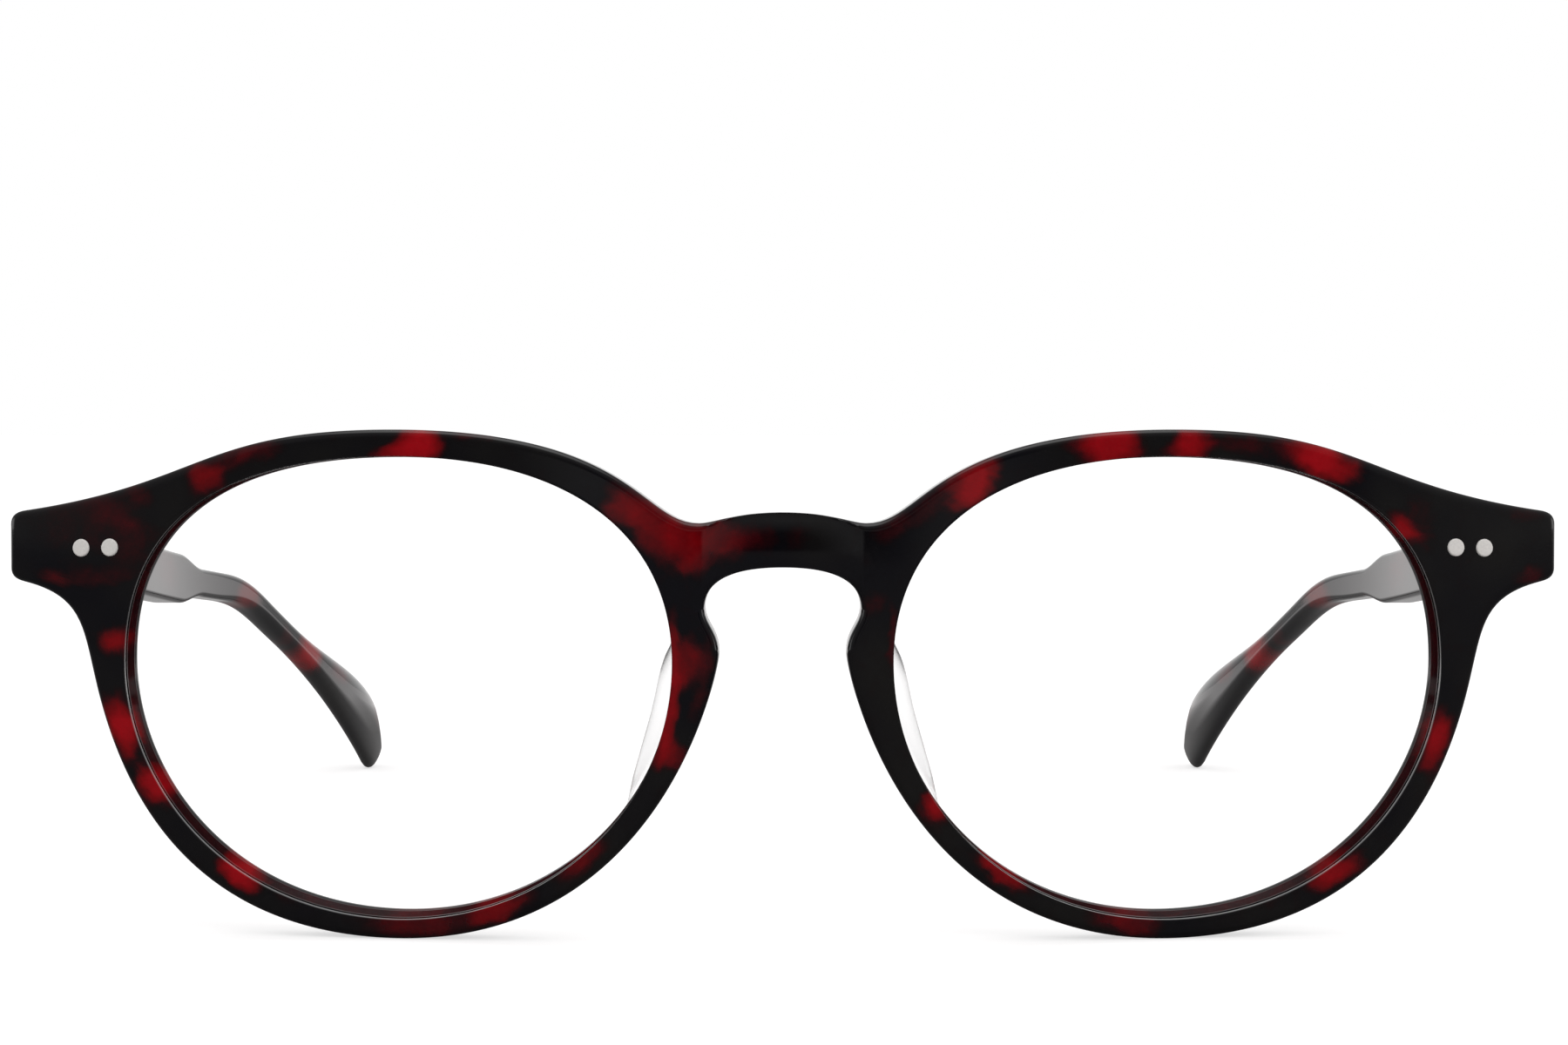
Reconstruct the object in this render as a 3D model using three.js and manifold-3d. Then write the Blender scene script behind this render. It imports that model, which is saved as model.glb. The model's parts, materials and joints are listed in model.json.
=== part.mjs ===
// Oval eyeglasses: an acetate front with a keyhole bridge, two lenses, two nose pads and two folding temples.
// Millimetres. X points to the wearer's left, Y back along the temples and Z up, at rest on a table.
import * as THREE from 'three';
import { mergeVertices } from 'three/addons/utils/BufferGeometryUtils.js';
import { TessellateModifier } from 'three/addons/modifiers/TessellateModifier.js';
import Module from 'manifold-3d';

// Front: lens openings, the rims around them and the bend of the whole front
const bridgeGap = 19.3;
const lensWidth = 49.2;
const lensHeight = 41;
const rimBottomWidth = 1.8;
const rimTopWidth = 2.35;
const rimTempleWidth = 1.85;
const frontThickness = 4;
const frontCurveRadius = 265;
const frontEdgeRound = 0.6;

// Bridge and keyhole nose gap, measured down from the top of the rims and from the bridge's own top
const bridgeDrop = 7.1;
const bridgeDepth = 4.8;
const bridgeCrown = 0.95;
const keyholeWidth = 13.7;
const keyholeDrop = 3.6;
const noseWaistWidth = 11.2;
const noseWaistDrop = 7.6;
const bridgeScoopDepth = 0.5;
const bridgeScoopWidth = 14.4;

// Endpieces, the flared outer ends that carry the hinges
const endpieceReach = 8.45;
const endpieceDrop = 10.75;
const endpieceHeight = 6.4;
const endpieceCorner = 1.3;

// Lens and its groove in the rim
const lensThickness = 2;
const lensClearance = 0.15;
const lensBevelHeight = 0.6;
const grooveWidth = 1.8;
const grooveDepth = 0.7;

// Nose pads, each a clear fin behind the nasal rim
const padRise = 1;
const padLength = 15.4;
const padReach = 6.4;
const padSplay = 3.4;
const padFootWidth = 2.3;
const padEdgeWidth = 1.3;
const padInset = 0.3;
const seatGap = 0.15;

// Temples, measured along their curve from the joint with the endpiece
const templeLength = 144;
const templeThickness = 4;
const templeHeadHeight = 5.3;
const templeHeadLength = 65;
const templeStepLength = 10;
const templeNeckHeight = 3.05;
const templeNeckThickness = 3.1;
const templePaddleLength = 38;
const templeTipHeight = 9.3;
const templeTipThickness = 2.2;
const templeTipRound = 5.8;
const templeEdgeRound = 0.9;
const templeShaftLength = 84;
const earBendLength = 16.5;
const earBendAngle = 19.8;
const tipCurlAngle = 1.3;
const templeBow = 13.4;
const bowStart = 47;
const pantoscopicAngle = 8.2;

// Core wire inside each temple
const coreRadius = 0.6;
const coreClearance = 0.15;
const coreStart = 9.5;
const coreTail = 19.5;

// Five-barrel hinge, whose pin stands at the inner corner between endpiece and temple
const knuckleCount = 5;
const knucklePitch = 0.8;
const knuckleGap = 0.1;
const knuckleRadius = 1.2;
const pinInset = 0.55;
const pinSetback = 1.5;
const leafThickness = 0.8;
const leafFit = 0.15;
const leafLip = 0.2;
const frontLeafLength = 7.4;
const templeLeafLength = 7;
const notchClearance = 0.45;
const buttGap = 0.2;

// Hinge screw
const screwRadius = 0.55;
const screwClearance = 0.08;
const screwHeadRadius = 1;
const screwHeadHeight = 0.5;
const screwSlotWidth = 0.3;
const screwSlotDepth = 0.25;

// Rivets through the acetate into the hinge leaves
const rivetRadius = 0.45;
const rivetClearance = 0.12;
const rivetHeadRadius = 0.85;
const rivetHeadHeight = 0.6;
const rivetHeadProud = 0.15;
const rivetTailRadius = 0.72;
const rivetTailHeight = 0.25;
const frontRivetOffset = 3.1;
const frontRivetDrop = 0.6;
const templeRivetOffset = 4;
const rivetSpacing = 2.67;

// Where the lens opening's extremes lie, and the pull of its four curves, leaving and arriving
const lensTopShare = 0.49;
const lensTempleShare = 0.545;
const lensBottomShare = 0.5;
const lensNoseShare = 0.566;
const lensPullShares = [[0.5, 0.81], [0.5, 0.63], [0.58, 0.54], [0.6, 0.66]];

// Slopes and pulls of the outer outline, from the bridge's top round to the keyhole's top
const bridgeNotchShare = 0.76;
const rimFlankShare = 0.43;
const browSlopeShare = 0.16;
const underSlopeShare = 0.22;
const flankSlopeShare = 0.3;
const bridgePullShares = [0.59, 0.18];
const browRisePullShares = [0.19, 0.79];
const browFallPullShares = [0.52, 0.49];
const cornerPullShares = [0.6, 0.6];
const underPullShares = [0.67, 0.55];
const flankPullShares = [0.6, 0.42];
const nasalPullShares = [0.83, 0.06];
const waistPullShares = [0.51, 0.34];
const archPullShares = [0.7, 0.62];

// Shapes of the small curves
const lensRingShares = [0.15, 0.45, 0.75, 1];
const padMiddleShare = 0.45;
const padMiddleSplayShare = 0.35;
const padMiddleWidthShare = 0.85;
const padShoulderShare = 0.92;
const padSwellShare = 1.5;
const bowEaseShare = 1.6;
const tipStationShare = 0.9;
const cornerLimitShare = 0.45;

// How finely curves are cut into facets
const outlineSteps = 8;
const edgeSteps = 2;
const lensSteps = 10;
const facetLength = 7;
const facetPasses = 12;
const roundSides = 12;
const knuckleSides = 18;
const scoopSides = 360;
const coreSides = 6;
const coreSteps = 26;
const padSteps = 12;
const lineSteps = 266;
const bodySteps = 31;
const tipSteps = 6;
const cornerSteps = 2;
const leanSteps = 40;
const steepestLean = 30;
const weldTolerance = 1e-4;
const cutOverrun = 3;

const degrees = THREE.MathUtils.degToRad;
const rightward = new THREE.Vector2(1, 0);
const leftward = new THREE.Vector2(-1, 0);
const upward = new THREE.Vector2(0, 1);
const downward = new THREE.Vector2(0, -1);

const wasm = await Module();
wasm.setup();

// Solids

function welded(geometry) {
  const bare = new THREE.BufferGeometry();
  bare.setAttribute('position', geometry.getAttribute('position').clone());
  if (geometry.index) {
    bare.setIndex(geometry.index.clone());
  }
  return mergeVertices(bare, weldTolerance);
}

function signedVolume(geometry) {
  const at = geometry.getAttribute('position');
  const corner = [new THREE.Vector3(), new THREE.Vector3(), new THREE.Vector3()];
  let sum = 0;
  for (let k = 0; k < geometry.index.count; k += 3) {
    corner.forEach((point, c) => point.fromBufferAttribute(at, geometry.index.getX(k + c)));
    sum += corner[0].dot(corner[1].cross(corner[2]));
  }
  return sum;
}

function facingOut(geometry) {
  if (signedVolume(geometry) > 0) {
    return geometry;
  }
  const turned = Array.from(geometry.index.array);
  for (let k = 0; k < turned.length; k += 3) {
    [turned[k], turned[k + 1]] = [turned[k + 1], turned[k]];
  }
  geometry.setIndex(turned);
  return geometry;
}

function solidOf(geometry) {
  const closed = facingOut(welded(geometry));
  return new wasm.Manifold(new wasm.Mesh({
    numProp: 3,
    vertProperties: new Float32Array(closed.getAttribute('position').array),
    triVerts: new Uint32Array(closed.index.array),
  }));
}

function geometryOf(solid) {
  const mesh = solid.getMesh();
  const geometry = new THREE.BufferGeometry();
  geometry.setAttribute('position', new THREE.BufferAttribute(Float32Array.from(mesh.vertProperties), 3));
  geometry.setIndex(Array.from(mesh.triVerts));
  return geometry;
}

function cut(body, tools) {
  return geometryOf(tools.reduce((solid, tool) => solid.subtract(solidOf(tool)), solidOf(body)));
}

function joined(pieces) {
  return geometryOf(pieces.map(solidOf).reduce((solid, piece) => solid.add(piece)));
}

function mirrored(geometry) {
  return facingOut(welded(geometry).scale(-1, 1, 1));
}

// A box between two opposite corners
function boxBetween(low, high) {
  const size = high.clone().sub(low);
  const middle = high.clone().add(low).multiplyScalar(0.5);
  return new THREE.BoxGeometry(size.x, size.y, size.z).translate(middle.x, middle.y, middle.z);
}

// A round bar along Z between two heights
function upright(radius, low, high, sides) {
  const bar = new THREE.CylinderGeometry(radius, radius, high - low, sides).rotateX(Math.PI / 2);
  return bar.translate(0, 0, (low + high) / 2);
}

// A body turned about Z from points given as radius and height
function turned(profilePoints) {
  const points = profilePoints.map(([radius, height]) => new THREE.Vector2(radius, height));
  return new THREE.LatheGeometry(points, roundSides).rotateX(Math.PI / 2);
}

// A closed skin over rings of equally many points, with a fan over each end
function loft(rings) {
  const count = rings[0].length;
  const last = (rings.length - 1) * count;
  const middle = (ring) => ring.reduce((sum, p) => sum.add(p), new THREE.Vector3()).divideScalar(count);
  const points = [...rings.flat(), middle(rings[0]), middle(rings[rings.length - 1])];
  const index = [];
  for (let k = 0; k < count; k += 1) {
    const next = (k + 1) % count;
    for (let row = 0; row < last; row += count) {
      index.push(row + k, row + next, row + count + next);
      index.push(row + k, row + count + next, row + count + k);
    }
    index.push(next, k, points.length - 2);
    index.push(last + k, last + next, points.length - 1);
  }
  const geometry = new THREE.BufferGeometry().setFromPoints(points);
  geometry.setIndex(index);
  return facingOut(geometry);
}

// Outlines

// Draws a curve that leaves one way and arrives another, each pull a share of the travel along its way
function sweepTo(path, leaveWay, to, arriveWay, [leaveShare, arriveShare]) {
  const from = path.currentPoint.clone();
  const travel = to.clone().sub(from);
  const leave = from.clone().addScaledVector(leaveWay, leaveShare * Math.abs(travel.dot(leaveWay)));
  const arrive = to.clone().addScaledVector(arriveWay, -arriveShare * Math.abs(travel.dot(arriveWay)));
  path.bezierCurveTo(leave.x, leave.y, arrive.x, arrive.y, to.x, to.y);
}

const lensNoseX = bridgeGap / 2;
const lensTempleX = lensNoseX + lensWidth;
const lensTopZ = rimBottomWidth + lensHeight;
const frontTopZ = lensTopZ + rimTopWidth;
const lensTop = new THREE.Vector2(lensNoseX + lensWidth * lensTopShare, lensTopZ);
const lensTemple = new THREE.Vector2(lensTempleX, rimBottomWidth + lensHeight * lensTempleShare);
const lensBottom = new THREE.Vector2(lensNoseX + lensWidth * lensBottomShare, rimBottomWidth);
const lensNose = new THREE.Vector2(lensNoseX, rimBottomWidth + lensHeight * lensNoseShare);

function drawnLensLoop() {
  const path = new THREE.Path();
  path.moveTo(lensTop.x, lensTop.y);
  sweepTo(path, rightward, lensTemple, downward, lensPullShares[0]);
  sweepTo(path, downward, lensBottom, leftward, lensPullShares[1]);
  sweepTo(path, leftward, lensNose, upward, lensPullShares[2]);
  sweepTo(path, upward, lensTop, rightward, lensPullShares[3]);
  return path.getPoints(lensSteps).slice(0, -1);
}

const halfWidth = lensTempleX + rimTempleWidth + endpieceReach;
const bridgeTop = new THREE.Vector2(0, frontTopZ - bridgeDrop);
const bridgeNotch = new THREE.Vector2(lensNoseX * bridgeNotchShare, bridgeTop.y - bridgeCrown);
const browTop = new THREE.Vector2(lensTop.x, frontTopZ);
const keyholeTop = new THREE.Vector2(0, bridgeTop.y - bridgeDepth);
const keyholeSide = new THREE.Vector2(keyholeWidth / 2, keyholeTop.y - keyholeDrop);
const noseWaist = new THREE.Vector2(noseWaistWidth / 2, keyholeTop.y - noseWaistDrop);
const rimBottom = new THREE.Vector2(lensBottom.x, 0);
const rimFlank = new THREE.Vector2(lensTempleX + rimTempleWidth, rimBottomWidth + lensHeight * rimFlankShare);
const endpieceMidZ = frontTopZ - endpieceDrop;
const endTopZ = endpieceMidZ + endpieceHeight / 2;
const endBottomZ = endpieceMidZ - endpieceHeight / 2;

function drawnHalfOutline() {
  const browWay = new THREE.Vector2(1, -browSlopeShare).normalize();
  const underWay = new THREE.Vector2(-1, -underSlopeShare).normalize();
  const flankWay = new THREE.Vector2(-flankSlopeShare, -1).normalize();
  const endTop = new THREE.Vector2(halfWidth - endpieceCorner, endTopZ);
  const endBottom = new THREE.Vector2(halfWidth - endpieceCorner, endBottomZ);
  const outerTop = new THREE.Vector2(halfWidth, endTopZ - endpieceCorner);
  const path = new THREE.Path();
  path.moveTo(bridgeTop.x, bridgeTop.y);
  sweepTo(path, rightward, bridgeNotch, rightward, bridgePullShares);
  sweepTo(path, rightward, browTop, rightward, browRisePullShares);
  sweepTo(path, rightward, endTop, browWay, browFallPullShares);
  sweepTo(path, browWay, outerTop, downward, cornerPullShares);
  path.lineTo(halfWidth, endBottomZ + endpieceCorner);
  sweepTo(path, downward, endBottom, underWay, cornerPullShares);
  sweepTo(path, underWay, rimFlank, flankWay, underPullShares);
  sweepTo(path, flankWay, rimBottom, leftward, flankPullShares);
  sweepTo(path, leftward, noseWaist, upward, nasalPullShares);
  sweepTo(path, upward, keyholeSide, upward, waistPullShares);
  sweepTo(path, upward, keyholeTop, leftward, archPullShares);
  return path.getPoints(outlineSteps);
}

const lensLoop = drawnLensLoop();
const halfOutline = drawnHalfOutline();

function mirroredLoop(loop) {
  return loop.map((p) => new THREE.Vector2(-p.x, p.y)).reverse();
}

// Moves every point of a clockwise loop outward along its normal
function offsetLoop(loop, distance) {
  return loop.map((p, k) => {
    const before = loop[(k + loop.length - 1) % loop.length];
    const after = loop[(k + 1) % loop.length];
    const along = after.clone().sub(before).normalize();
    return new THREE.Vector2(p.x - along.y * distance, p.y + along.x * distance);
  });
}

// The front's curve: a point of the flat pattern, at a depth behind the front face, on the bent front

const frontMidZ = frontTopZ / 2;
const curveCentre = new THREE.Vector3(0, frontCurveRadius, frontMidZ);

function onFront(x, z, depth) {
  const rise = z - frontMidZ;
  const sag = frontCurveRadius - Math.sqrt(frontCurveRadius ** 2 - x ** 2 - rise ** 2);
  const skin = new THREE.Vector3(x, sag, z);
  const inward = curveCentre.clone().sub(skin).normalize();
  return skin.addScaledVector(inward, depth);
}

function bent(flat) {
  const at = flat.getAttribute('position');
  for (let k = 0; k < at.count; k += 1) {
    const p = onFront(at.getX(k), at.getY(k), at.getZ(k));
    at.setXYZ(k, p.x, p.y, p.z);
  }
  return facingOut(flat);
}

// Hinge frame of the left side: origin on the pin, X outward, Y back along the temple, Z up along the pin

const backRadius = frontCurveRadius - frontThickness;
const pinX = halfWidth - templeThickness - pinInset;
const leafReachX = pinX - frontLeafLength / 2;
const wrapAngle = Math.asin(leafReachX / backRadius);
const leafDrop = knuckleRadius + leafFit;
const leafFoot = new THREE.Vector2(
  backRadius * Math.sin(wrapAngle) + Math.cos(wrapAngle) * frontLeafLength / 2,
  frontCurveRadius - backRadius * Math.cos(wrapAngle) + Math.sin(wrapAngle) * frontLeafLength / 2,
);
const pinY = leafFoot.y + leafDrop * Math.cos(wrapAngle);
const tilt = degrees(pantoscopicAngle);
const hingeHeight = knuckleCount * knucklePitch;
const hingePlace = new THREE.Matrix4()
  .makeTranslation(pinX, pinY, endpieceMidZ)
  .multiply(new THREE.Matrix4().makeRotationX(-tilt));
const templeInnerX = pinInset;
const leafInnerX = templeInnerX - leafLip;

function pinHole() {
  return upright(screwRadius + screwClearance, -hingeHeight, hingeHeight, knuckleSides);
}

// Knuckles, each a barrel with a web to one side
function knuckles(first, web) {
  const rings = [];
  for (let k = first; k < knuckleCount; k += 2) {
    const low = knucklePitch * k - hingeHeight / 2 + knuckleGap / 2;
    const high = low + knucklePitch - knuckleGap;
    rings.push(upright(knuckleRadius, low, high, knuckleSides));
    rings.push(web(low, high));
  }
  return rings;
}

// Front leaf in its own plane: X along the leaf, Y from the front face to the pin
function frontLeafPlate(margin, back) {
  const half = hingeHeight / 2 + margin;
  const low = new THREE.Vector3(-frontLeafLength - margin, -leafDrop - leafThickness - margin, -half);
  return boxBetween(low, new THREE.Vector3(knuckleRadius + margin, -leafDrop + back, half));
}

function frontLeaf() {
  const web = (low, high) => boxBetween(
    new THREE.Vector3(-knuckleRadius, -leafDrop - leafThickness / 2, low),
    new THREE.Vector3(knuckleRadius, 0, high),
  );
  const holes = rivetDistances(frontRivetOffset).map((along) => upright(
    rivetRadius + rivetClearance,
    -cutOverrun,
    cutOverrun,
    roundSides,
  ).rotateX(Math.PI / 2).translate(-along, -leafDrop, -frontRivetDrop));
  const leaf = cut(joined([frontLeafPlate(0, 0), ...knuckles(0, web)]), [pinHole(), ...holes]);
  return leaf.rotateZ(wrapAngle);
}

function templeLeafPlate(margin, inward) {
  const half = hingeHeight / 2 + margin;
  const start = knuckleRadius + notchClearance;
  return boxBetween(
    new THREE.Vector3(leafInnerX - inward, start - margin, -half),
    new THREE.Vector3(leafInnerX + leafThickness + margin, start + templeLeafLength + margin, half),
  );
}

function templeLeaf() {
  const web = (low, high) => boxBetween(
    new THREE.Vector3(leafInnerX, 0, low),
    new THREE.Vector3(knuckleRadius, knuckleRadius + notchClearance + leafThickness, high),
  );
  const holes = rivetDistances(templeRivetOffset).map((along) => upright(
    rivetRadius + rivetClearance,
    -cutOverrun,
    cutOverrun,
    roundSides,
  ).rotateY(Math.PI / 2).translate(leafInnerX, along, 0));
  return cut(joined([templeLeafPlate(0, 0), ...knuckles(1, web)]), [pinHole(), ...holes]);
}

function rivetDistances(first) {
  return [first, first + rivetSpacing];
}

// Hinge screw, a slotted head over the top knuckle and a plain shank down through the barrel
function hingeScrew() {
  const top = hingeHeight / 2 + screwClearance;
  const shoulder = screwHeadRadius - screwHeadHeight / 2;
  const profile = [
    [0, -hingeHeight / 2],
    [screwRadius, -hingeHeight / 2],
    [screwRadius, top],
    [screwHeadRadius, top],
    [screwHeadRadius, top + screwHeadHeight / 2],
    [shoulder, top + screwHeadHeight],
    [0, top + screwHeadHeight],
  ];
  const body = turned(profile);
  const slot = boxBetween(
    new THREE.Vector3(-screwHeadRadius, -screwSlotWidth / 2, top + screwHeadHeight - screwSlotDepth),
    new THREE.Vector3(screwHeadRadius, screwSlotWidth / 2, top + screwHeadHeight + screwSlotDepth),
  );
  return cut(body, [slot]);
}

// Rivet along Z: its peened tail below zero, its head around the far surface
function rivet(length) {
  const seat = length + rivetHeadProud - rivetHeadHeight;
  const profile = [
    [0, -rivetClearance - rivetTailHeight],
    [rivetTailRadius / 2, -rivetClearance - rivetTailHeight],
    [rivetTailRadius, -rivetClearance],
    [rivetRadius, -rivetClearance],
    [rivetRadius, seat],
    [rivetHeadRadius, seat],
    [rivetHeadRadius, length],
    [rivetHeadRadius - rivetHeadProud, length + rivetHeadProud],
    [0, length + rivetHeadProud],
  ];
  return turned(profile);
}

// Space for a rivet along Z: a hole all through and a recess for the head
function rivetSpace(length) {
  const seat = length + rivetHeadProud - rivetHeadHeight - rivetClearance;
  const hole = rivetRadius + rivetClearance;
  const recess = rivetHeadRadius + rivetClearance;
  const end = length + cutOverrun;
  return turned([[0, -cutOverrun], [hole, -cutOverrun], [hole, seat], [recess, seat], [recess, end], [0, end]]);
}

// Where a front rivet starts on its leaf, in the front's frame, and how far it is to the front face
function frontRivetPlace(along) {
  const place = hingePlace.clone()
    .multiply(new THREE.Matrix4().makeRotationZ(wrapAngle))
    .multiply(new THREE.Matrix4().makeTranslation(-along, -leafDrop, -frontRivetDrop))
    .multiply(new THREE.Matrix4().makeRotationX(Math.PI / 2));
  const start = new THREE.Vector3().setFromMatrixPosition(place).sub(curveCentre);
  const way = new THREE.Vector3().setFromMatrixColumn(place, 2);
  const lean = start.dot(way);
  const length = Math.sqrt(lean ** 2 - start.lengthSq() + frontCurveRadius ** 2) - lean;
  return { place, length };
}

// Front frame

function frontFlat() {
  const otherHalf = mirroredLoop(halfOutline).slice(1, -1);
  const outline = new THREE.Shape([...halfOutline, ...otherHalf].reverse());
  outline.holes.push(new THREE.Path(lensLoop), new THREE.Path(mirroredLoop(lensLoop)));
  return new THREE.ExtrudeGeometry(outline, {
    depth: frontThickness - 2 * frontEdgeRound,
    bevelThickness: frontEdgeRound,
    bevelSize: frontEdgeRound,
    bevelOffset: -frontEdgeRound,
    bevelSegments: edgeSteps,
  }).translate(0, 0, frontEdgeRound);
}

function lensRing(outset, depth) {
  return offsetLoop(lensLoop, outset).map((p) => new THREE.Vector3(p.x, p.y, depth));
}

// The groove's cutter in the flat pattern: a plate of the opening's outline with a pointed edge
function grooveFlat() {
  const middle = frontThickness / 2;
  return loft([
    lensRing(-grooveDepth, middle - grooveWidth / 2),
    lensRing(0, middle - grooveWidth / 2),
    lensRing(grooveDepth, middle),
    lensRing(0, middle + grooveWidth / 2),
    lensRing(-grooveDepth, middle + grooveWidth / 2),
  ]);
}

// The scoop across the bridge, an upright cylinder that grazes its front face
function bridgeScoop() {
  const hollowRadius = bridgeScoopWidth ** 2 / (8 * bridgeScoopDepth);
  const radius = 1 / (1 / hollowRadius - 1 / frontCurveRadius);
  const faceY = onFront(0, (bridgeTop.y + keyholeTop.y) / 2, 0).y;
  const scoop = upright(radius, keyholeSide.y, bridgeTop.y + cutOverrun, scoopSides);
  return scoop.translate(0, faceY + bridgeScoopDepth - radius, 0);
}

// Cuts in one endpiece: its mitred back, the leaf's pocket and the rivets' holes
function endpieceCuts() {
  const mitre = boxBetween(
    new THREE.Vector3(-knuckleRadius, -pinSetback, -endpieceHeight),
    new THREE.Vector3(templeThickness + cutOverrun, cutOverrun, endpieceHeight),
  ).applyMatrix4(hingePlace);
  const pocket = frontLeafPlate(leafFit, cutOverrun).rotateZ(wrapAngle).applyMatrix4(hingePlace);
  const holes = rivetDistances(frontRivetOffset).map((along) => {
    const { place, length } = frontRivetPlace(along);
    return rivetSpace(length).applyMatrix4(place);
  });
  return [mitre, pocket, ...holes];
}

function frontFrame() {
  const groove = grooveFlat();
  const grooved = cut(frontFlat(), [groove, mirrored(groove)]);
  const fine = new TessellateModifier(facetLength, facetPasses).modify(grooved);
  const tools = endpieceCuts();
  return cut(bent(welded(fine)), [bridgeScoop(), ...tools, ...tools.map(mirrored)]);
}

// Lens: a bent disc with a pointed edge that sits in the rim's groove
function lens() {
  const middle = frontThickness / 2;
  const face = lensThickness / 2;
  const shoulder = face - lensClearance;
  const centre = new THREE.Vector2(lensNoseX + lensWidth / 2, rimBottomWidth + lensHeight / 2);
  const disc = (share, depth) => lensRing(-lensClearance, depth).map((p) => new THREE.Vector3(
    centre.x + (p.x - centre.x) * share,
    centre.y + (p.y - centre.y) * share,
    depth,
  ));
  return bent(loft([
    ...lensRingShares.map((share) => disc(share, middle - face)),
    disc(1, middle - shoulder),
    lensRing(lensBevelHeight - lensClearance, middle),
    disc(1, middle + shoulder),
    ...lensRingShares.map((share) => disc(share, middle + face)).reverse(),
  ]));
}

// Nose pad: a clear fin behind the nasal rim, deepest at its middle and splayed outward to the rear

// The nose side of the rim at a height, read from the stretch of outline below the waist
function noseSideX(height) {
  const upper = halfOutline.findIndex((p, k) => k > halfOutline.length / 2 && p.x < lensTop.x && p.y >= height);
  const [low, high] = [halfOutline[upper - 1], halfOutline[upper]];
  return THREE.MathUtils.mapLinear(height, low.y, high.y, low.x, high.x);
}

function padRing(share) {
  const height = noseWaist.y + padRise - padLength * share;
  const foot = frontThickness + seatGap;
  const swell = Math.sin(Math.PI * share);
  const reach = padEdgeWidth / 2 + (padReach - padEdgeWidth / 2) * swell ** padSwellShare;
  const splay = padSplay * swell;
  const base = noseSideX(height) + padInset;
  const point = (across, reachShare) => onFront(base + across, height, foot + reach * reachShare);
  const middle = splay * padMiddleSplayShare;
  return [
    point(0, 0),
    point(middle, padMiddleShare),
    point(splay, padShoulderShare),
    point(splay + padEdgeWidth / 2, 1),
    point(splay + padEdgeWidth, padShoulderShare),
    point(middle + padFootWidth * padMiddleWidthShare, padMiddleShare),
    point(padFootWidth, 0),
  ];
}

function nosePad() {
  const rings = [];
  for (let k = 0; k <= padSteps; k += 1) {
    rings.push(padRing(k / padSteps));
  }
  return loft(rings);
}

// Temple: sections along a path that runs straight, bows inward and bends down behind the ear

const templeStartY = -pinSetback + buttGap;

function smooth(share) {
  const part = THREE.MathUtils.clamp(share, 0, 1);
  return part * part * (3 - 2 * part);
}

// Blends smoothly from value to value at stations along the temple
function blended(stations, values, along) {
  const next = stations.findIndex((station) => station >= along);
  if (next < 1) {
    return next < 0 ? values[values.length - 1] : values[0];
  }
  const part = (along - stations[next - 1]) / (stations[next] - stations[next - 1]);
  return THREE.MathUtils.lerp(values[next - 1], values[next], smooth(part));
}

function heightAt(along) {
  const neckStart = templeHeadLength + templeStepLength;
  const paddleEnd = templeLength - templeTipRound * tipStationShare;
  const height = blended(
    [0, templeHeadLength, neckStart, templeLength - templePaddleLength, paddleEnd],
    [templeHeadHeight, templeHeadHeight, templeNeckHeight, templeNeckHeight, templeTipHeight],
    along,
  );
  const past = Math.max(0, along - templeLength + templeTipRound) / templeTipRound;
  return height * Math.sqrt(1 - past ** 2);
}

function thicknessAt(along) {
  return blended(
    [0, bowStart, templeShaftLength, templeLength],
    [templeThickness, templeThickness, templeNeckThickness, templeTipThickness],
    along,
  );
}

// The inner face's distance inward of the head's inner face
function bowAt(along) {
  return templeBow * smooth((along - bowStart) / (templeLength - bowStart)) ** bowEaseShare;
}

// How far down the path points, from the straight shaft round the ear to the tip
function bendAt(along) {
  const past = along - templeShaftLength;
  const tail = templeLength - templeShaftLength - earBendLength;
  const curl = THREE.MathUtils.clamp((past - earBendLength) / tail, 0, 1);
  return degrees(earBendAngle) * smooth(past / earBendLength) + degrees(tipCurlAngle) * curl;
}

// Closely spaced points of the temple's middle line, with the way down at each
function drawnTempleLine() {
  const stride = templeLength / lineSteps;
  const line = [];
  let y = templeStartY;
  let z = 0;
  for (let k = 0; k <= lineSteps; k += 1) {
    const angle = bendAt(k * stride);
    line.push({ angle, y, z });
    y += stride * Math.cos(angle);
    z -= stride * Math.sin(angle);
  }
  return line;
}

const templeLine = drawnTempleLine();

// A place on the temple: its distance along, how far across from the middle line, and how far up
function onTemple(along, across, up) {
  const station = THREE.MathUtils.clamp(Math.round((along / templeLength) * lineSteps), 0, lineSteps);
  const { angle, y, z } = templeLine[station];
  const middleX = templeInnerX - bowAt(along) + thicknessAt(along) / 2;
  return new THREE.Vector3(middleX + across, y + up * Math.sin(angle), z + up * Math.cos(angle));
}

// Section of the temple: a rectangle with rounded corners, square to the path
function templeRing(along) {
  const thickness = thicknessAt(along);
  const height = heightAt(along);
  const round = Math.min(templeEdgeRound, height * cornerLimitShare, thickness * cornerLimitShare);
  const ring = [];
  for (const [quarter, acrossSign, upSign] of [[0, 1, 1], [1, -1, 1], [2, -1, -1], [3, 1, -1]]) {
    for (let k = 0; k <= cornerSteps; k += 1) {
      const turn = (quarter + k / cornerSteps) * Math.PI / 2;
      const across = acrossSign * (thickness / 2 - round) + round * Math.cos(turn);
      ring.push(onTemple(along, across, upSign * (height / 2 - round) + round * Math.sin(turn)));
    }
  }
  return ring;
}

// Distances of the sections: even along the body, then closing in on the round tip
function templeStations() {
  const body = templeLength - templeTipRound;
  const stations = [];
  for (let k = 0; k <= bodySteps; k += 1) {
    stations.push(body * k / bodySteps);
  }
  for (let k = 1; k <= tipSteps; k += 1) {
    stations.push(body + templeTipRound * Math.sin(Math.PI / 2 * k / (tipSteps + 1 / 2)));
  }
  return stations;
}

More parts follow.
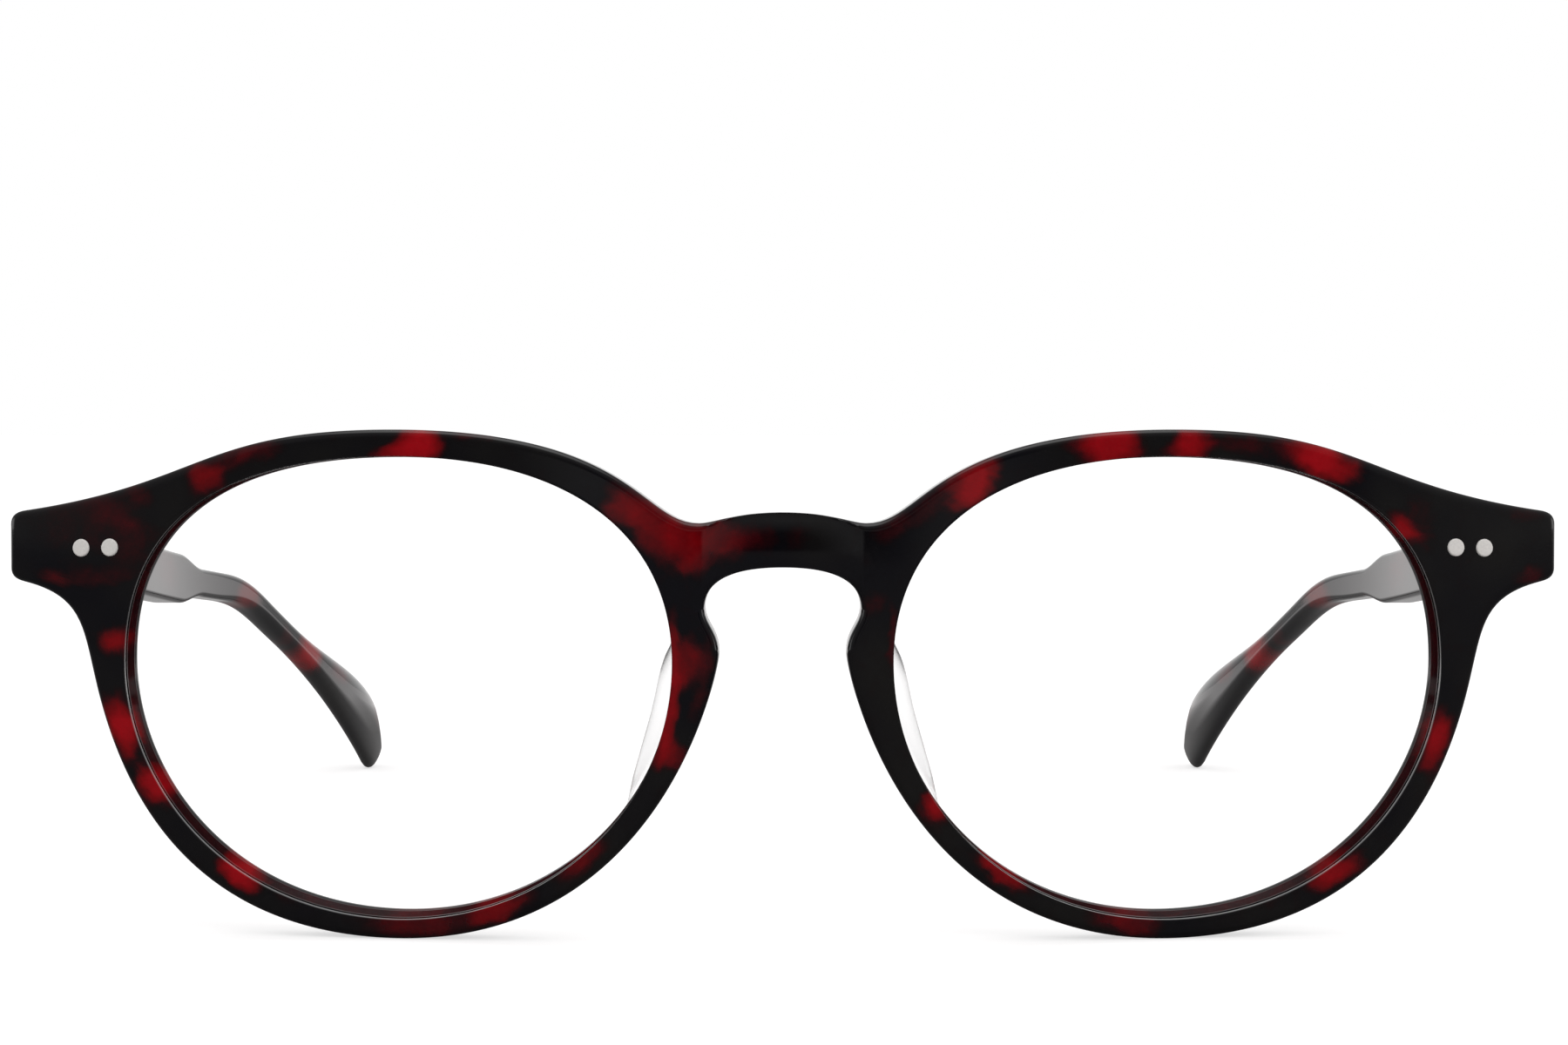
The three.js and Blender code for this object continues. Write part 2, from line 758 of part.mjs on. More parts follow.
// A wire along the temple's middle line between two distances
function coreTube(radius, from, to) {
  const rings = [];
  for (let k = 0; k <= coreSteps; k += 1) {
    const ring = [];
    for (let side = 0; side < coreSides; side += 1) {
      const turn = Math.PI * 2 * side / coreSides;
      ring.push(onTemple(from + (to - from) * k / coreSteps, radius * Math.cos(turn), radius * Math.sin(turn)));
    }
    rings.push(ring);
  }
  return loft(rings);
}

// The wire's channel opens through the temple's front end
function coreChannel() {
  const radius = coreRadius + coreClearance;
  const mouth = upright(radius, -cutOverrun, cutOverrun, coreSides).rotateX(Math.PI / 2);
  mouth.translate(templeInnerX + templeThickness / 2, templeStartY, 0);
  return joined([coreTube(radius, 0, templeLength - coreTail + coreClearance), mouth]);
}

function templeRivetPlace(along) {
  return new THREE.Matrix4()
    .makeTranslation(leafInnerX, along, 0)
    .multiply(new THREE.Matrix4().makeRotationY(Math.PI / 2));
}

const templeRivetLength = templeThickness + templeInnerX - leafInnerX;

function temple() {
  const notch = boxBetween(
    new THREE.Vector3(-cutOverrun, -pinSetback - cutOverrun, -hingeHeight / 2 - leafFit),
    new THREE.Vector3(
      knuckleRadius + notchClearance,
      knuckleRadius + notchClearance,
      hingeHeight / 2 + leafFit + screwHeadHeight + screwClearance,
    ),
  );
  const pocket = templeLeafPlate(leafFit, cutOverrun);
  const holes = rivetDistances(templeRivetOffset).map((along) => (
    rivetSpace(templeRivetLength).applyMatrix4(templeRivetPlace(along))
  ));
  return cut(loft(templeStations().map(templeRing)), [notch, pocket, coreChannel(), ...holes]);
}

// Materials
const acetate = { color: 0x2a0a0e, roughness: 0.18, metalness: 0 };
const clearLens = { color: 0xf4f7f8, roughness: 0.03, metalness: 0, transparent: true, opacity: 0.25 };
const clearPad = { color: 0xf3efec, roughness: 0.1, metalness: 0, transparent: true, opacity: 0.5 };
const steel = { color: 0xb9bbbd, roughness: 0.35, metalness: 1 };
const nickel = { color: 0xcfcac8, roughness: 0.3, metalness: 1 };

function addPiece(parent, name, geometry, look) {
  const mesh = new THREE.Mesh(geometry, new THREE.MeshStandardMaterial({ ...look, flatShading: true }));
  mesh.name = name;
  parent.add(mesh);
}

const eyeglasses = new THREE.Group();
const assembly = new THREE.Group();
eyeglasses.add(assembly);

const sides = [
  { name: 'left', sign: 1, handed: (geometry) => geometry },
  { name: 'right', sign: -1, handed: mirrored },
];

addPiece(assembly, 'front_frame', frontFrame(), acetate);
for (const { name, sign, handed } of sides) {
  addPiece(assembly, `lens_${name}`, handed(lens()), clearLens);
  addPiece(assembly, `nose_pad_${name}`, handed(nosePad()), clearPad);
  const hinge = new THREE.Group();
  hinge.position.set(sign * pinX, pinY, endpieceMidZ);
  hinge.rotation.x = -tilt;
  assembly.add(hinge);
  addPiece(hinge, `front_hinge_${name}`, handed(frontLeaf()), steel);
  addPiece(hinge, `temple_hinge_${name}`, handed(templeLeaf()), steel);
  addPiece(hinge, `hinge_screw_${name}`, handed(hingeScrew()), nickel);
  addPiece(hinge, `temple_${name}`, handed(temple()), acetate);
  const core = coreTube(coreRadius, coreStart, templeLength - coreTail);
  addPiece(hinge, `temple_core_${name}`, handed(core), steel);
  const fromFront = hingePlace.clone().invert();
  rivetDistances(frontRivetOffset).forEach((along, k) => {
    const { place, length } = frontRivetPlace(along);
    const pin = rivet(length).applyMatrix4(place).applyMatrix4(fromFront);
    addPiece(hinge, `front_rivet_${name}_${k + 1}`, handed(pin), nickel);
  });
  rivetDistances(templeRivetOffset).forEach((along, k) => {
    const pin = rivet(templeRivetLength).applyMatrix4(templeRivetPlace(along));
    addPiece(hinge, `temple_rivet_${name}_${k + 1}`, handed(pin), nickel);
  });
}

// Rest on a table: the front leans until the rims and the temple tips stand at one height

function cornersOf(prefix) {
  const corners = [];
  eyeglasses.updateMatrixWorld(true);
  eyeglasses.traverse((mesh) => {
    if (mesh.isMesh && mesh.name.startsWith(prefix)) {
      const at = mesh.geometry.getAttribute('position');
      for (let k = 0; k < at.count; k += 1) {
        corners.push(new THREE.Vector3().fromBufferAttribute(at, k).applyMatrix4(mesh.matrixWorld));
      }
    }
  });
  return corners;
}

function lowest(corners, lean) {
  return Math.min(...corners.map((p) => p.y * Math.sin(lean) + p.z * Math.cos(lean)));
}

function restingLean() {
  const rims = cornersOf('front_frame');
  const temples = cornersOf('temple_');
  let low = -degrees(steepestLean);
  let high = degrees(steepestLean);
  for (let k = 0; k < leanSteps; k += 1) {
    const middle = (low + high) / 2;
    if (lowest(temples, middle) < lowest(rims, middle)) {
      low = middle;
    } else {
      high = middle;
    }
  }
  return (low + high) / 2;
}

assembly.rotation.x = restingLean();
const bounds = new THREE.Box3().setFromPoints(cornersOf(''));
const middle = bounds.getCenter(new THREE.Vector3());
assembly.position.set(-middle.x, -middle.y, -bounds.min.z);

export default eyeglasses;
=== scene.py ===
"""Oval eyeglasses in red and black tortoise acetate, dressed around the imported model."""

import json
import math

import bmesh
import bpy
import numpy as np
from bpy.props import FloatProperty, FloatVectorProperty, IntProperty, PointerProperty
from mathutils import Matrix, Vector


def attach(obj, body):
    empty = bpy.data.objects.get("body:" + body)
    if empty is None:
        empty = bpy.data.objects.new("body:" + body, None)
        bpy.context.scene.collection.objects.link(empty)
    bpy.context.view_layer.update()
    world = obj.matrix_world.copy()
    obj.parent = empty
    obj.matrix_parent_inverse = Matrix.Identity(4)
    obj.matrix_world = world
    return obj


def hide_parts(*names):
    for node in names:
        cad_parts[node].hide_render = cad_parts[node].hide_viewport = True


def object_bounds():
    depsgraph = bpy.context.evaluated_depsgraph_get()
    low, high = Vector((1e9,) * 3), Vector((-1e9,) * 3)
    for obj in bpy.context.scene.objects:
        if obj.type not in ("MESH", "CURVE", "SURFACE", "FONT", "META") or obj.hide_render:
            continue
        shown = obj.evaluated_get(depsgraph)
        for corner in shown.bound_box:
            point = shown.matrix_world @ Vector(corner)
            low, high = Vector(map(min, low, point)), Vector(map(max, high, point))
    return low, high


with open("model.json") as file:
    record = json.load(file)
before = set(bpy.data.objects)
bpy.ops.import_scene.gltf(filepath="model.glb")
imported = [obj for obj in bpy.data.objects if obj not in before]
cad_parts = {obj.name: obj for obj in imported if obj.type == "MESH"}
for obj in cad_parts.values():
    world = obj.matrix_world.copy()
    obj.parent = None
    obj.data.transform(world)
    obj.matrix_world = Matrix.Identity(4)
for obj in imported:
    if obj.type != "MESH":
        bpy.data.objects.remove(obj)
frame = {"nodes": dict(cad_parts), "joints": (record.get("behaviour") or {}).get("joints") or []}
cad_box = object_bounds()

bl_info = {
    "name": "Oval eyeglasses",
    "version": (1, 0, 0),
    "blender": (4, 5, 0),
    "location": "3D view > Sidebar > Eyeglasses",
    "description": "Builds the acetate front, lenses, pads, temples and hinges of oval eyeglasses",
    "category": "Add Mesh",
}

RIGHTWARD = np.array((1.0, 0.0))
LEFTWARD = -RIGHTWARD
UPWARD = np.array((0.0, 1.0))
DOWNWARD = -UPWARD


# Properties


def size(name, default, description):
    """A length in metres that the sidebar shows in the scene's unit"""
    return FloatProperty(
        name=name, description=description, default=default, precision=5, unit="LENGTH"
    )


def colour(name, default, description):
    """A colour picker without alpha"""
    return FloatVectorProperty(
        name=name, description=description, default=default, size=3, min=0, max=1, subtype="COLOR"
    )


def number(name, default, description, unit="NONE"):
    """A plain number, such as a share"""
    return FloatProperty(name=name, description=description, default=default, unit=unit)


def turn(name, default, description):
    """An angle, given here in degrees"""
    return FloatProperty(
        name=name, description=description, default=math.radians(default), subtype="ANGLE"
    )


class EyeFrontSizes(bpy.types.PropertyGroup):
    bridge_gap: size("Bridge gap", 0.0193, "Distance between the two lens openings")
    lens_width: size("Lens width", 0.0492, "Width of a lens opening")
    lens_height: size("Lens height", 0.041, "Height of a lens opening")
    rim_bottom: size("Rim below", 0.0018, "Width of the rim under the lens")
    rim_top: size("Rim above", 0.00235, "Width of the rim above the lens")
    rim_temple: size("Rim at the temple", 0.00165, "Width of the rim beside the lens")
    thickness: size("Thickness", 0.004, "Thickness of the acetate front")
    curve_radius: size("Face curve", 0.265, "Radius that the front is bent to")
    edge_round: size("Outer edge", 0.0006, "Depth of the tumbled outer edges")
    edge_soft: size("Outer edge width", 0.0007, "Width of the tumbled outer edges")
    lip_round: size("Lens lip", 0.00008, "Depth of the tumbled edges round the lens")
    lip_soft: size("Lens lip width", 0.0001, "Width of the tumbled edges round the lens")
    lens_lean: size("Lens wall lean", 0.0004, "How much narrower an opening is in front")
    bridge_drop: size("Bridge drop", 0.0071, "From the rims' top to the bridge's top")
    bridge_depth: size("Bridge depth", 0.0048, "Height of the bridge at its middle")
    bridge_crown: size("Bridge crown", 0.00095, "Rise of the bridge over its two notches")
    keyhole_width: size("Keyhole width", 0.0137, "Width of the keyhole under the bridge")
    keyhole_drop: size("Keyhole drop", 0.0036, "From the keyhole's top to its widest point")
    waist_width: size("Waist width", 0.0112, "Width of the nose gap at its narrowest")
    waist_drop: size("Waist drop", 0.0076, "From the keyhole's top to the waist")
    scoop_depth: size("Scoop depth", 0.0005, "Depth of the hollow across the bridge")
    scoop_width: size("Scoop width", 0.0144, "Width of the hollow across the bridge")
    scoop_crown: size("Scoop crown", 0.0001, "Upright roundness of the hollow's face")
    scoop_turn: size("Scoop turn", 0.00007, "How much deeper the hollow is at its top")
    scoop_fade: size("Scoop fade", 0.0015, "Height over which the hollow starts at the keyhole")
    endpiece_reach: size("Endpiece reach", 0.00865, "Endpiece beyond the rim")
    endpiece_drop: size("Endpiece drop", 0.01075, "From the rims' top to the endpiece's middle")
    endpiece_height: size("Endpiece height", 0.0064, "Height of the endpiece's outer end")
    endpiece_corner: size("Endpiece corner", 0.0013, "Radius of the endpiece's corners")
    groove_width: size("Groove width", 0.0026, "Width of the lens groove")
    groove_depth: size("Groove depth", 0.0007, "Depth of the lens groove")


class EyeLensSizes(bpy.types.PropertyGroup):
    thickness: size("Lens thickness", 0.0025, "Thickness of a lens")
    clearance: size("Lens clearance", 0.00002, "Play between lens and rim")
    bevel: size("Lens bevel", 0.00055, "Height of the pointed edge that sits in the groove")


class EyePadSizes(bpy.types.PropertyGroup):
    rise: size("Pad rise", 0.0018, "How far the pad starts above the waist")
    length: size("Pad length", 0.0164, "Length of a nose pad along the rim")
    reach: size("Pad reach", 0.0064, "How far a nose pad stands back")
    splay: size("Pad splay", 0.0044, "How far a pad's rear edge leans outward")
    taper: number("Pad taper", 0.55, "Less lean at the lower end")
    lean: number("Pad lean", 0.35, "Slope of its side above the waist")
    foot: size("Pad foot", 0.0023, "Width of the pad where it is glued on")
    edge: size("Pad edge", 0.0013, "Width of the pad near its rear edge")
    inset: size("Pad inset", 0.0003, "From the rim's nose side to the pad")
    seat: size("Pad seat", 0.0001, "Glue line between pad and rim")


class EyeTempleSizes(bpy.types.PropertyGroup):
    length: size("Temple length", 0.14386, "Length along the temple's curve")
    thickness: size("Head thickness", 0.004, "Thickness of the temple's head")
    head_height: size("Head height", 0.0053, "Height of the temple's head")
    head_length: size("Head length", 0.065, "Length of the tall head")
    step_length: size("Step length", 0.010, "Length of the step down to the neck")
    neck_height: size("Neck height", 0.00305, "Height of the slim neck")
    neck_thickness: size("Neck thickness", 0.0031, "Thickness of the slim neck")
    paddle_length: size("Paddle length", 0.038, "Length of the flared tip")
    tip_height: size("Tip height", 0.009, "Greatest height of the tip")
    tip_thickness: size("Tip thickness", 0.0022, "Thickness of the tip")
    tip_round: size("Tip round", 0.0058, "Length of the tip's round end")
    edge_round: size("Temple edge", 0.0005, "Radius of the head's long edges")
    tail_round: size("Tail edge", 0.0014, "Depth of the tip's long edges")
    tail_start: size("Tail start", 0.079, "Where the long edges start to widen")
    tail_length: size("Tail widening", 0.022, "Length on which the long edges widen")
    tail_reach: number("Tail edge width", 0.36, "Share of the height that one edge takes")
    shaft_length: size("Shaft length", 0.084, "Straight length before the ear bend")
    bend_length: size("Bend length", 0.0165, "Length of the ear bend")
    bow: size("Inward bow", 0.0134, "How far the tip stands inward")
    bow_start: size("Bow start", 0.047, "Where the inward bow starts")
    bend_angle: turn("Ear bend", 19.8, "Angle of the ear bend")
    curl_angle: turn("Tip curl", 1.3, "Further bend towards the tip")
    tilt: turn("Temple tilt", 8.2, "Tilt of the temples against the front")


class EyeHingeSizes(bpy.types.PropertyGroup):
    pitch: size("Knuckle pitch", 0.0008, "From one hinge knuckle to the next")
    radius: size("Knuckle radius", 0.0012, "Radius of the hinge barrel")
    pin_inset: size("Pin inset", 0.00055, "From the pin to the temple's inner face")
    pin_setback: size("Pin setback", 0.0015, "From the pin forward to the joint's face")
    leaf: size("Leaf thickness", 0.0008, "Thickness of a hinge leaf")
    leaf_fit: size("Leaf fit", 0.00015, "Play round a leaf in its pocket")
    leaf_lip: size("Leaf lip", 0.0002, "How far a leaf stands out of the acetate")
    front_leaf: size("Front leaf", 0.0074, "Length of the leaf in the endpiece")
    temple_leaf: size("Temple leaf", 0.007, "Length of the leaf in the temple")
    notch: size("Notch play", 0.00045, "Room round the barrel in the temple")
    butt: size("Butt gap", 0.0002, "Gap between the temple and the endpiece")
    screw_rise: size("Screw rise", 0.0005, "Height of the hinge screw's head")
    rivet: size("Rivet head", 0.00079, "Radius of a rivet's head")
    rivet_proud: size("Rivet rise", 0.00015, "How far a rivet's head stands out")
    rivet_deep: size("Rivet depth", 0.0006, "Height of a rivet's head")
    front_rivet: size("Front rivet", 0.00352, "From the pin to the endpiece's first rivet")
    front_drop: size("Front rivet drop", 0.00083, "Endpiece rivets below the leaf's middle")
    temple_rivet: size("Temple rivet", 0.004, "From the pin to the temple's first rivet")
    spacing: size("Rivet spacing", 0.00272, "From one rivet to the next")
    knuckles: IntProperty(name="Knuckles", description="Barrels in a hinge", default=5)


class EyeFinishes(bpy.types.PropertyGroup):
    night: colour("Night", (0.0020, 0.0018, 0.0033), "Coldest black of the acetate")
    black: colour("Black", (0.0062, 0.0056, 0.0054), "Warmest black of the acetate")
    maroon: colour("Maroon", (0.030, 0.0014, 0.0028), "Middle part of the acetate")
    red: colour("Red", (0.29, 0.0008, 0.0045), "Brightest flakes of the acetate")
    clear: colour("Clear", (1.0, 1.0, 1.0), "Lenses and nose pads")
    steel: colour("Steel", (0.56, 0.56, 0.57), "Hinge leaves")
    nickel: colour("Nickel", (0.86, 0.83, 0.80), "Rivets and screws")
    flake: size("Flake size", 0.0022, "Size of the acetate's soft flakes")


class EyeStageSizes(bpy.types.PropertyGroup):
    distance: size("Camera distance", 0.310, "From the camera to the front")
    height: size("Camera height", 0.049, "Height of the camera over the table")
    focal: number("Focal length", 82.1, "Lens of the camera", "CAMERA")
    shift: number("Shift", 0.0008, "Sideways framing")
    pitch: turn("Camera pitch", 2.22, "How far the camera looks down")
    floor: colour("Floor", (0.5, 0.49, 0.49), "Colour of the table")
    lift: number("Floor lift", 0.62, "White that the table adds for the camera")
    # Painted reflection: how dark or bright the table's colour is painted where the polish mirrors it
    mirrored_front: number("Mirrored front", 0.2, "Share of the front table that polish shows")
    mirrored_near: number("Mirrored near", 0.5, "Share of the middle table that polish shows")
    mirrored_start: size("Mirrored start", 0.12, "Where the mirrored table starts to brighten")
    mirrored_fade: size("Mirrored fade", 0.3, "Where the mirrored table reaches its rear share")
    mirrored_far: number("Mirrored far", 1.8, "Share of the rear table that polish shows")
    fill: number("Fill", 1.0, "Even light from all round")
    top_glow: number("Top glow", 1.6, "Mirrored light above")
    side_glow: number("Side glow", 1.5, "Mirrored light beside")
    softbox_size: size("Softbox size", 0.4, "Width and height of the soft lamp before the front")
    softbox_power: number("Softbox power", 1.6, "Strength of the soft lamp", "POWER")


# Curves of the front, in metres in its flat pattern: across and up


def smooth(share):
    """A soft step from 0 to 1"""
    part = np.clip(share, 0, 1)
    return part * part * (3 - 2 * part)


# Points that a curve is measured at, and the fewest that a part of an outline gets
CURVE_STEPS, FEWEST_STEPS = 300, 7


def sweep(start, leave_way, end, arrive_way, pulls, spacing=1.0, count=None):
    """Evenly spaced points of a curve that leaves one way and arrives another, without the first"""
    travel = end - start
    leave = start + pulls[0] * (leave_way * abs(travel @ leave_way))
    arrive = end - pulls[1] * (arrive_way * abs(travel @ arrive_way))
    t = np.linspace(0, 1, CURVE_STEPS)[:, None]
    s = 1 - t
    fine = s**3 * start + 3 * s * s * t * leave + 3 * s * t * t * arrive + t**3 * end
    return evenly(fine, spacing, count)[1:]


def evenly(points, spacing, count=None):
    """The same polyline with evenly spaced points"""
    steps = np.linalg.norm(np.diff(points, axis=0), axis=1)
    reach = np.concatenate(([0], np.cumsum(steps)))
    count = count or max(FEWEST_STEPS, math.ceil(reach[-1] / spacing))
    wanted = np.linspace(0, reach[-1], count + 1)
    return np.stack([np.interp(wanted, reach, points[:, k]) for k in range(points.shape[1])], 1)


# Where the lens opening is highest, widest and lowest, as shares of its width or height
LENS_EXTREMES = {"top": 0.49, "temple": 0.545, "bottom": 0.5, "nose": 0.566}
# How strongly each part of the lens opening and of the outline keeps its way at both ends
LENS_PULLS = ((0.5, 0.81), (0.5, 0.63), (0.58, 0.54), (0.6, 0.66))
OUTLINE_PULLS = {
    "bridge": (0.59, 0.18),
    "brow_rise": (0.19, 0.79),
    "brow_fall": (0.52, 0.49),
    "corner": (0.6, 0.6),
    "under": (0.67, 0.55),
    "flank": (0.6, 0.42),
    "nasal": (0.83, 0.06),
    "waist": (0.51, 0.34),
    "arch": (0.7, 0.62),
}
# How far, in degrees, the lens's point opposite each stop of the outline is turned round the lens,
# and the power with which the first of these turns sets in
FACING = {"end_top": 7.5, "end_upper": 7.0, "end_lower": 9.0, "end_low": 8.0}
LATE_TURN = 3
# Places of the notch beside the bridge and of the rim's widest point, and slopes of the outline
BRIDGE_NOTCH, RIM_FLANK = 0.76, 0.43
BROW_SLOPE, UNDER_SLOPE, FLANK_SLOPE = 0.16, 0.22, 0.3


class FrontPlan:
    """Where the front's main points lie, and how its flat pattern is bent and stood on the table"""

    def __init__(self, scene):
        f, t, h = scene.eye_front, scene.eye_temple, scene.eye_hinge
        self.f, self.t, self.h = f, t, h
        self.nose_x = f.bridge_gap / 2
        self.temple_x = self.nose_x + f.lens_width
        self.top_z = f.rim_bottom + f.lens_height + f.rim_top
        self.half_width = self.temple_x + f.rim_temple + f.endpiece_reach
        self.mid_z = self.top_z / 2
        self.end_z = self.top_z - f.endpiece_drop
        self.bridge_top = np.array((0, self.top_z - f.bridge_drop))
        self.key_top = self.bridge_top - (0, f.bridge_depth)
        self.key_side = self.key_top + (f.keyhole_width / 2, -f.keyhole_drop)
        self.waist = self.key_top + (f.waist_width / 2, -f.waist_drop)
        self.lens_centre = np.array(
            (self.nose_x + f.lens_width / 2, f.rim_bottom + f.lens_height / 2)
        )
        self.place_hinge()

    def place_hinge(self):
        """The hinge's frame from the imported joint, and the front's place from the two together"""
        f, t, h = self.f, self.t, self.h
        joint = next(j for j in frame["joints"] if j["name"] == "temple_fold_left")
        back = f.curve_radius - f.thickness
        pin_x = self.half_width - t.thickness - h.pin_inset
        self.wrap = math.asin((pin_x - h.front_leaf / 2) / back)
        self.leaf_drop = h.radius + h.leaf_fit
        foot_y = f.curve_radius - back * math.cos(self.wrap)
        foot_y += math.sin(self.wrap) * h.front_leaf / 2
        pin = Vector((pin_x, foot_y + self.leaf_drop * math.cos(self.wrap), self.end_z))
        axis, across = Vector(joint["axis"]).normalized(), Vector((1, 0, 0))
        turned = Matrix((across, axis.cross(across), axis)).transposed().to_4x4()
        self.hinge = Matrix.Translation(joint["pos_m"]) @ turned
        self.lean = t.tilt - math.atan2(axis.y, axis.z)
        rotation = Matrix.Rotation(self.lean, 4, "X")
        self.stand = Matrix.Translation(Vector(joint["pos_m"]) - rotation @ pin) @ rotation

    def lens_loop(self, spacing):
        """The lens opening, clockwise from its top"""
        f = self.f
        width, height = f.lens_width, f.lens_height
        low = np.array((self.nose_x, f.rim_bottom))
        top = low + (width * LENS_EXTREMES["top"], height)
        temple = low + (width, height * LENS_EXTREMES["temple"])
        bottom = low + (width * LENS_EXTREMES["bottom"], 0)
        nose = low + (0, height * LENS_EXTREMES["nose"])
        stops = (top, temple, bottom, nose, top)
        ways = (RIGHTWARD, DOWNWARD, LEFTWARD, UPWARD, RIGHTWARD)
        parts = [
            sweep(stops[k], ways[k], stops[k + 1], ways[k + 1], LENS_PULLS[k], spacing)
            for k in range(4)
        ]
        return np.roll(np.concatenate(parts), 1, axis=0)

    def notch(self):
        """The low point of the brow line beside the bridge"""
        return np.array((self.nose_x * BRIDGE_NOTCH, self.bridge_top[1] - self.f.bridge_crown))

    def bridge_edges(self, count):
        """Top and arch of half the bridge, from its middle to the notch and the keyhole's side"""
        pulls = OUTLINE_PULLS
        top = (self.bridge_top, RIGHTWARD, self.notch(), RIGHTWARD, pulls["bridge"])
        arch = (self.key_side, UPWARD, self.key_top, LEFTWARD, pulls["arch"])
        top, arch = [
            np.concatenate((way[0][None], sweep(*way, count=count))) for way in (top, arch)
        ]
        return top, arch[::-1]

    def rim_outline(self, spacing):
        """The outer edge from the notch round the rim to the keyhole's side, with its facing"""
        f, pulls = self.f, OUTLINE_PULLS
        corner = f.endpiece_corner
        outer = self.half_width
        end_top = self.end_z + f.endpiece_height / 2
        end_low = self.end_z - f.endpiece_height / 2
        brow_way, under_way, flank_way = [
            np.array(way) / math.hypot(*way)
            for way in ((1, -BROW_SLOPE), (-1, -UNDER_SLOPE), (-FLANK_SLOPE, -1))
        ]
        brow = np.array((self.nose_x + f.lens_width * LENS_EXTREMES["top"], self.top_z))
        flank = np.array(
            (self.temple_x + f.rim_temple, f.rim_bottom + f.lens_height * RIM_FLANK)
        )
        bottom = np.array((self.nose_x + f.lens_width * LENS_EXTREMES["bottom"], 0))
        route = (
            (brow, RIGHTWARD, RIGHTWARD, "brow_rise", None),
            (np.array((outer - corner, end_top)), RIGHTWARD, brow_way, "brow_fall", "end_top"),
            (np.array((outer, end_top - corner)), brow_way, DOWNWARD, "corner", "end_upper"),
            (np.array((outer, end_low + corner)), DOWNWARD, DOWNWARD, "corner", "end_lower"),
            (np.array((outer - corner, end_low)), DOWNWARD, under_way, "corner", "end_low"),
            (flank, under_way, flank_way, "under", None),
            (bottom, flank_way, LEFTWARD, "flank", None),
            (self.waist, LEFTWARD, UPWARD, "nasal", None),
            (self.key_side, UPWARD, UPWARD, "waist", None),
        )
        points, facing = [self.notch()[None]], [[0.0]]
        for end, leave_way, arrive_way, pull, stop in route:
            start, turned = points[-1][-1], facing[-1][-1]
            points.append(sweep(start, leave_way, end, arrive_way, pulls[pull], spacing))
            share = np.linspace(0, 1, len(points[-1]) + 1)[1:]
            late = LATE_TURN if stop == "end_top" else 1
            facing.append(turned + (FACING.get(stop, 0.0) - turned) * share**late)
        return np.concatenate(points), np.radians(np.concatenate(facing))

    def bend(self, x, z, depth):
        """Places of the flat pattern on the bent front, before it stands on the table"""
        radius = self.f.curve_radius
        rise = z - self.mid_z
        inner = np.sqrt(radius**2 - x**2 - rise**2)
        share = depth / radius
        y = radius - inner + share * inner
        return np.stack((x - share * x, y, z - share * rise), -1)


def normals(points, closed):
    """Left-hand normals of a polyline, which point outward on a clockwise loop"""
    padded = np.pad(points, ((1, 1), (0, 0)), "wrap" if closed else "edge")
    way = padded[2:] - padded[:-2]
    way /= np.linalg.norm(way, axis=1)[:, None]
    return np.stack((-way[:, 1], way[:, 0]), 1)


def read_at(angle, around, values):
    """Values of a loop read at falling angles"""
    turned, wanted = (around[0] - around) % math.tau, (around[0] - angle) % math.tau
    order = np.argsort(turned)
    columns = values[order].T
    return np.stack([np.interp(wanted, turned[order], c, period=math.tau) for c in columns], 1)


# Meshes


def grid_faces(rows, columns, close_rows, close_columns):
    """Quads between neighbours of a grid, row by row"""
    row = np.arange(rows if close_rows else rows - 1)
    column = np.arange(columns if close_columns else columns - 1)
    r, c = np.meshgrid(row, column, indexing="ij")
    r2, c2 = (r + 1) % rows, (c + 1) % columns
    quads = np.stack((r * columns + c, r * columns + c2, r2 * columns + c2, r2 * columns + c), -1)
    return quads.reshape(-1, 4)


def tube_faces(rings, sides):
    """Quads from ring to ring of a tube, with a face over each of its two ends"""
    last = (rings - 1) * sides
    ends = [list(range(sides))[::-1], list(range(last, last + sides))]
    return [*grid_faces(rings, sides, False, True).tolist(), *ends]


def mesh_from(name, points, faces):
    """A mesh of points and faces"""
    mesh = bpy.data.meshes.new(name)
    mesh.from_pydata(np.asarray(points).tolist(), [], [list(map(int, f)) for f in faces])
    return mesh


def tidied(mesh, weld=1e-7, mirror=False):
    """Welds the mesh, on its mirror image too if wanted, and turns all faces outward"""
    work = bmesh.new()
    work.from_mesh(mesh)
    if mirror:
        both = bmesh.ops.duplicate(work, geom=work.verts[:] + work.edges[:] + work.faces[:])
        for v in both["geom"]:
            if isinstance(v, bmesh.types.BMVert):
                v.co.x = -v.co.x
    bmesh.ops.remove_doubles(work, verts=work.verts, dist=weld)
    bmesh.ops.recalc_face_normals(work, faces=work.faces)
    work.to_mesh(mesh)
    work.free()
    return mesh


def shaded(mesh, degrees=32):
    """Smooth shading that keeps edges sharper than the angle"""
    mesh.shade_smooth()
    mesh.set_sharp_from_angle(angle=math.radians(degrees))
    return mesh


def placed(name, data):
    """An object of the data, linked to the scene"""
    thing = bpy.data.objects.new(name, data)
    bpy.context.scene.collection.objects.link(thing)
    return thing


def piece(name, mesh, body, material, node):
    """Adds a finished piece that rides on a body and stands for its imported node"""
    thing = placed(name, mesh)
    mesh.name = name
    mesh.materials.clear()
    mesh.materials.append(look(material))
    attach(thing, body)
    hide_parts(node)
    return thing


def pair(mesh, name, body, slot, material, node):
    """Adds a left piece and its mirror image, where {} in a text stands for the side"""
    other = mesh.copy()
    other.transform(Matrix.Scale(-1, 4, (1, 0, 0)))
    other.flip_normals()
    return [
        piece(name.format(side), made, body.format(side), material, node.format(side))
        for side, made in (("left", mesh), ("right", other))
    ]


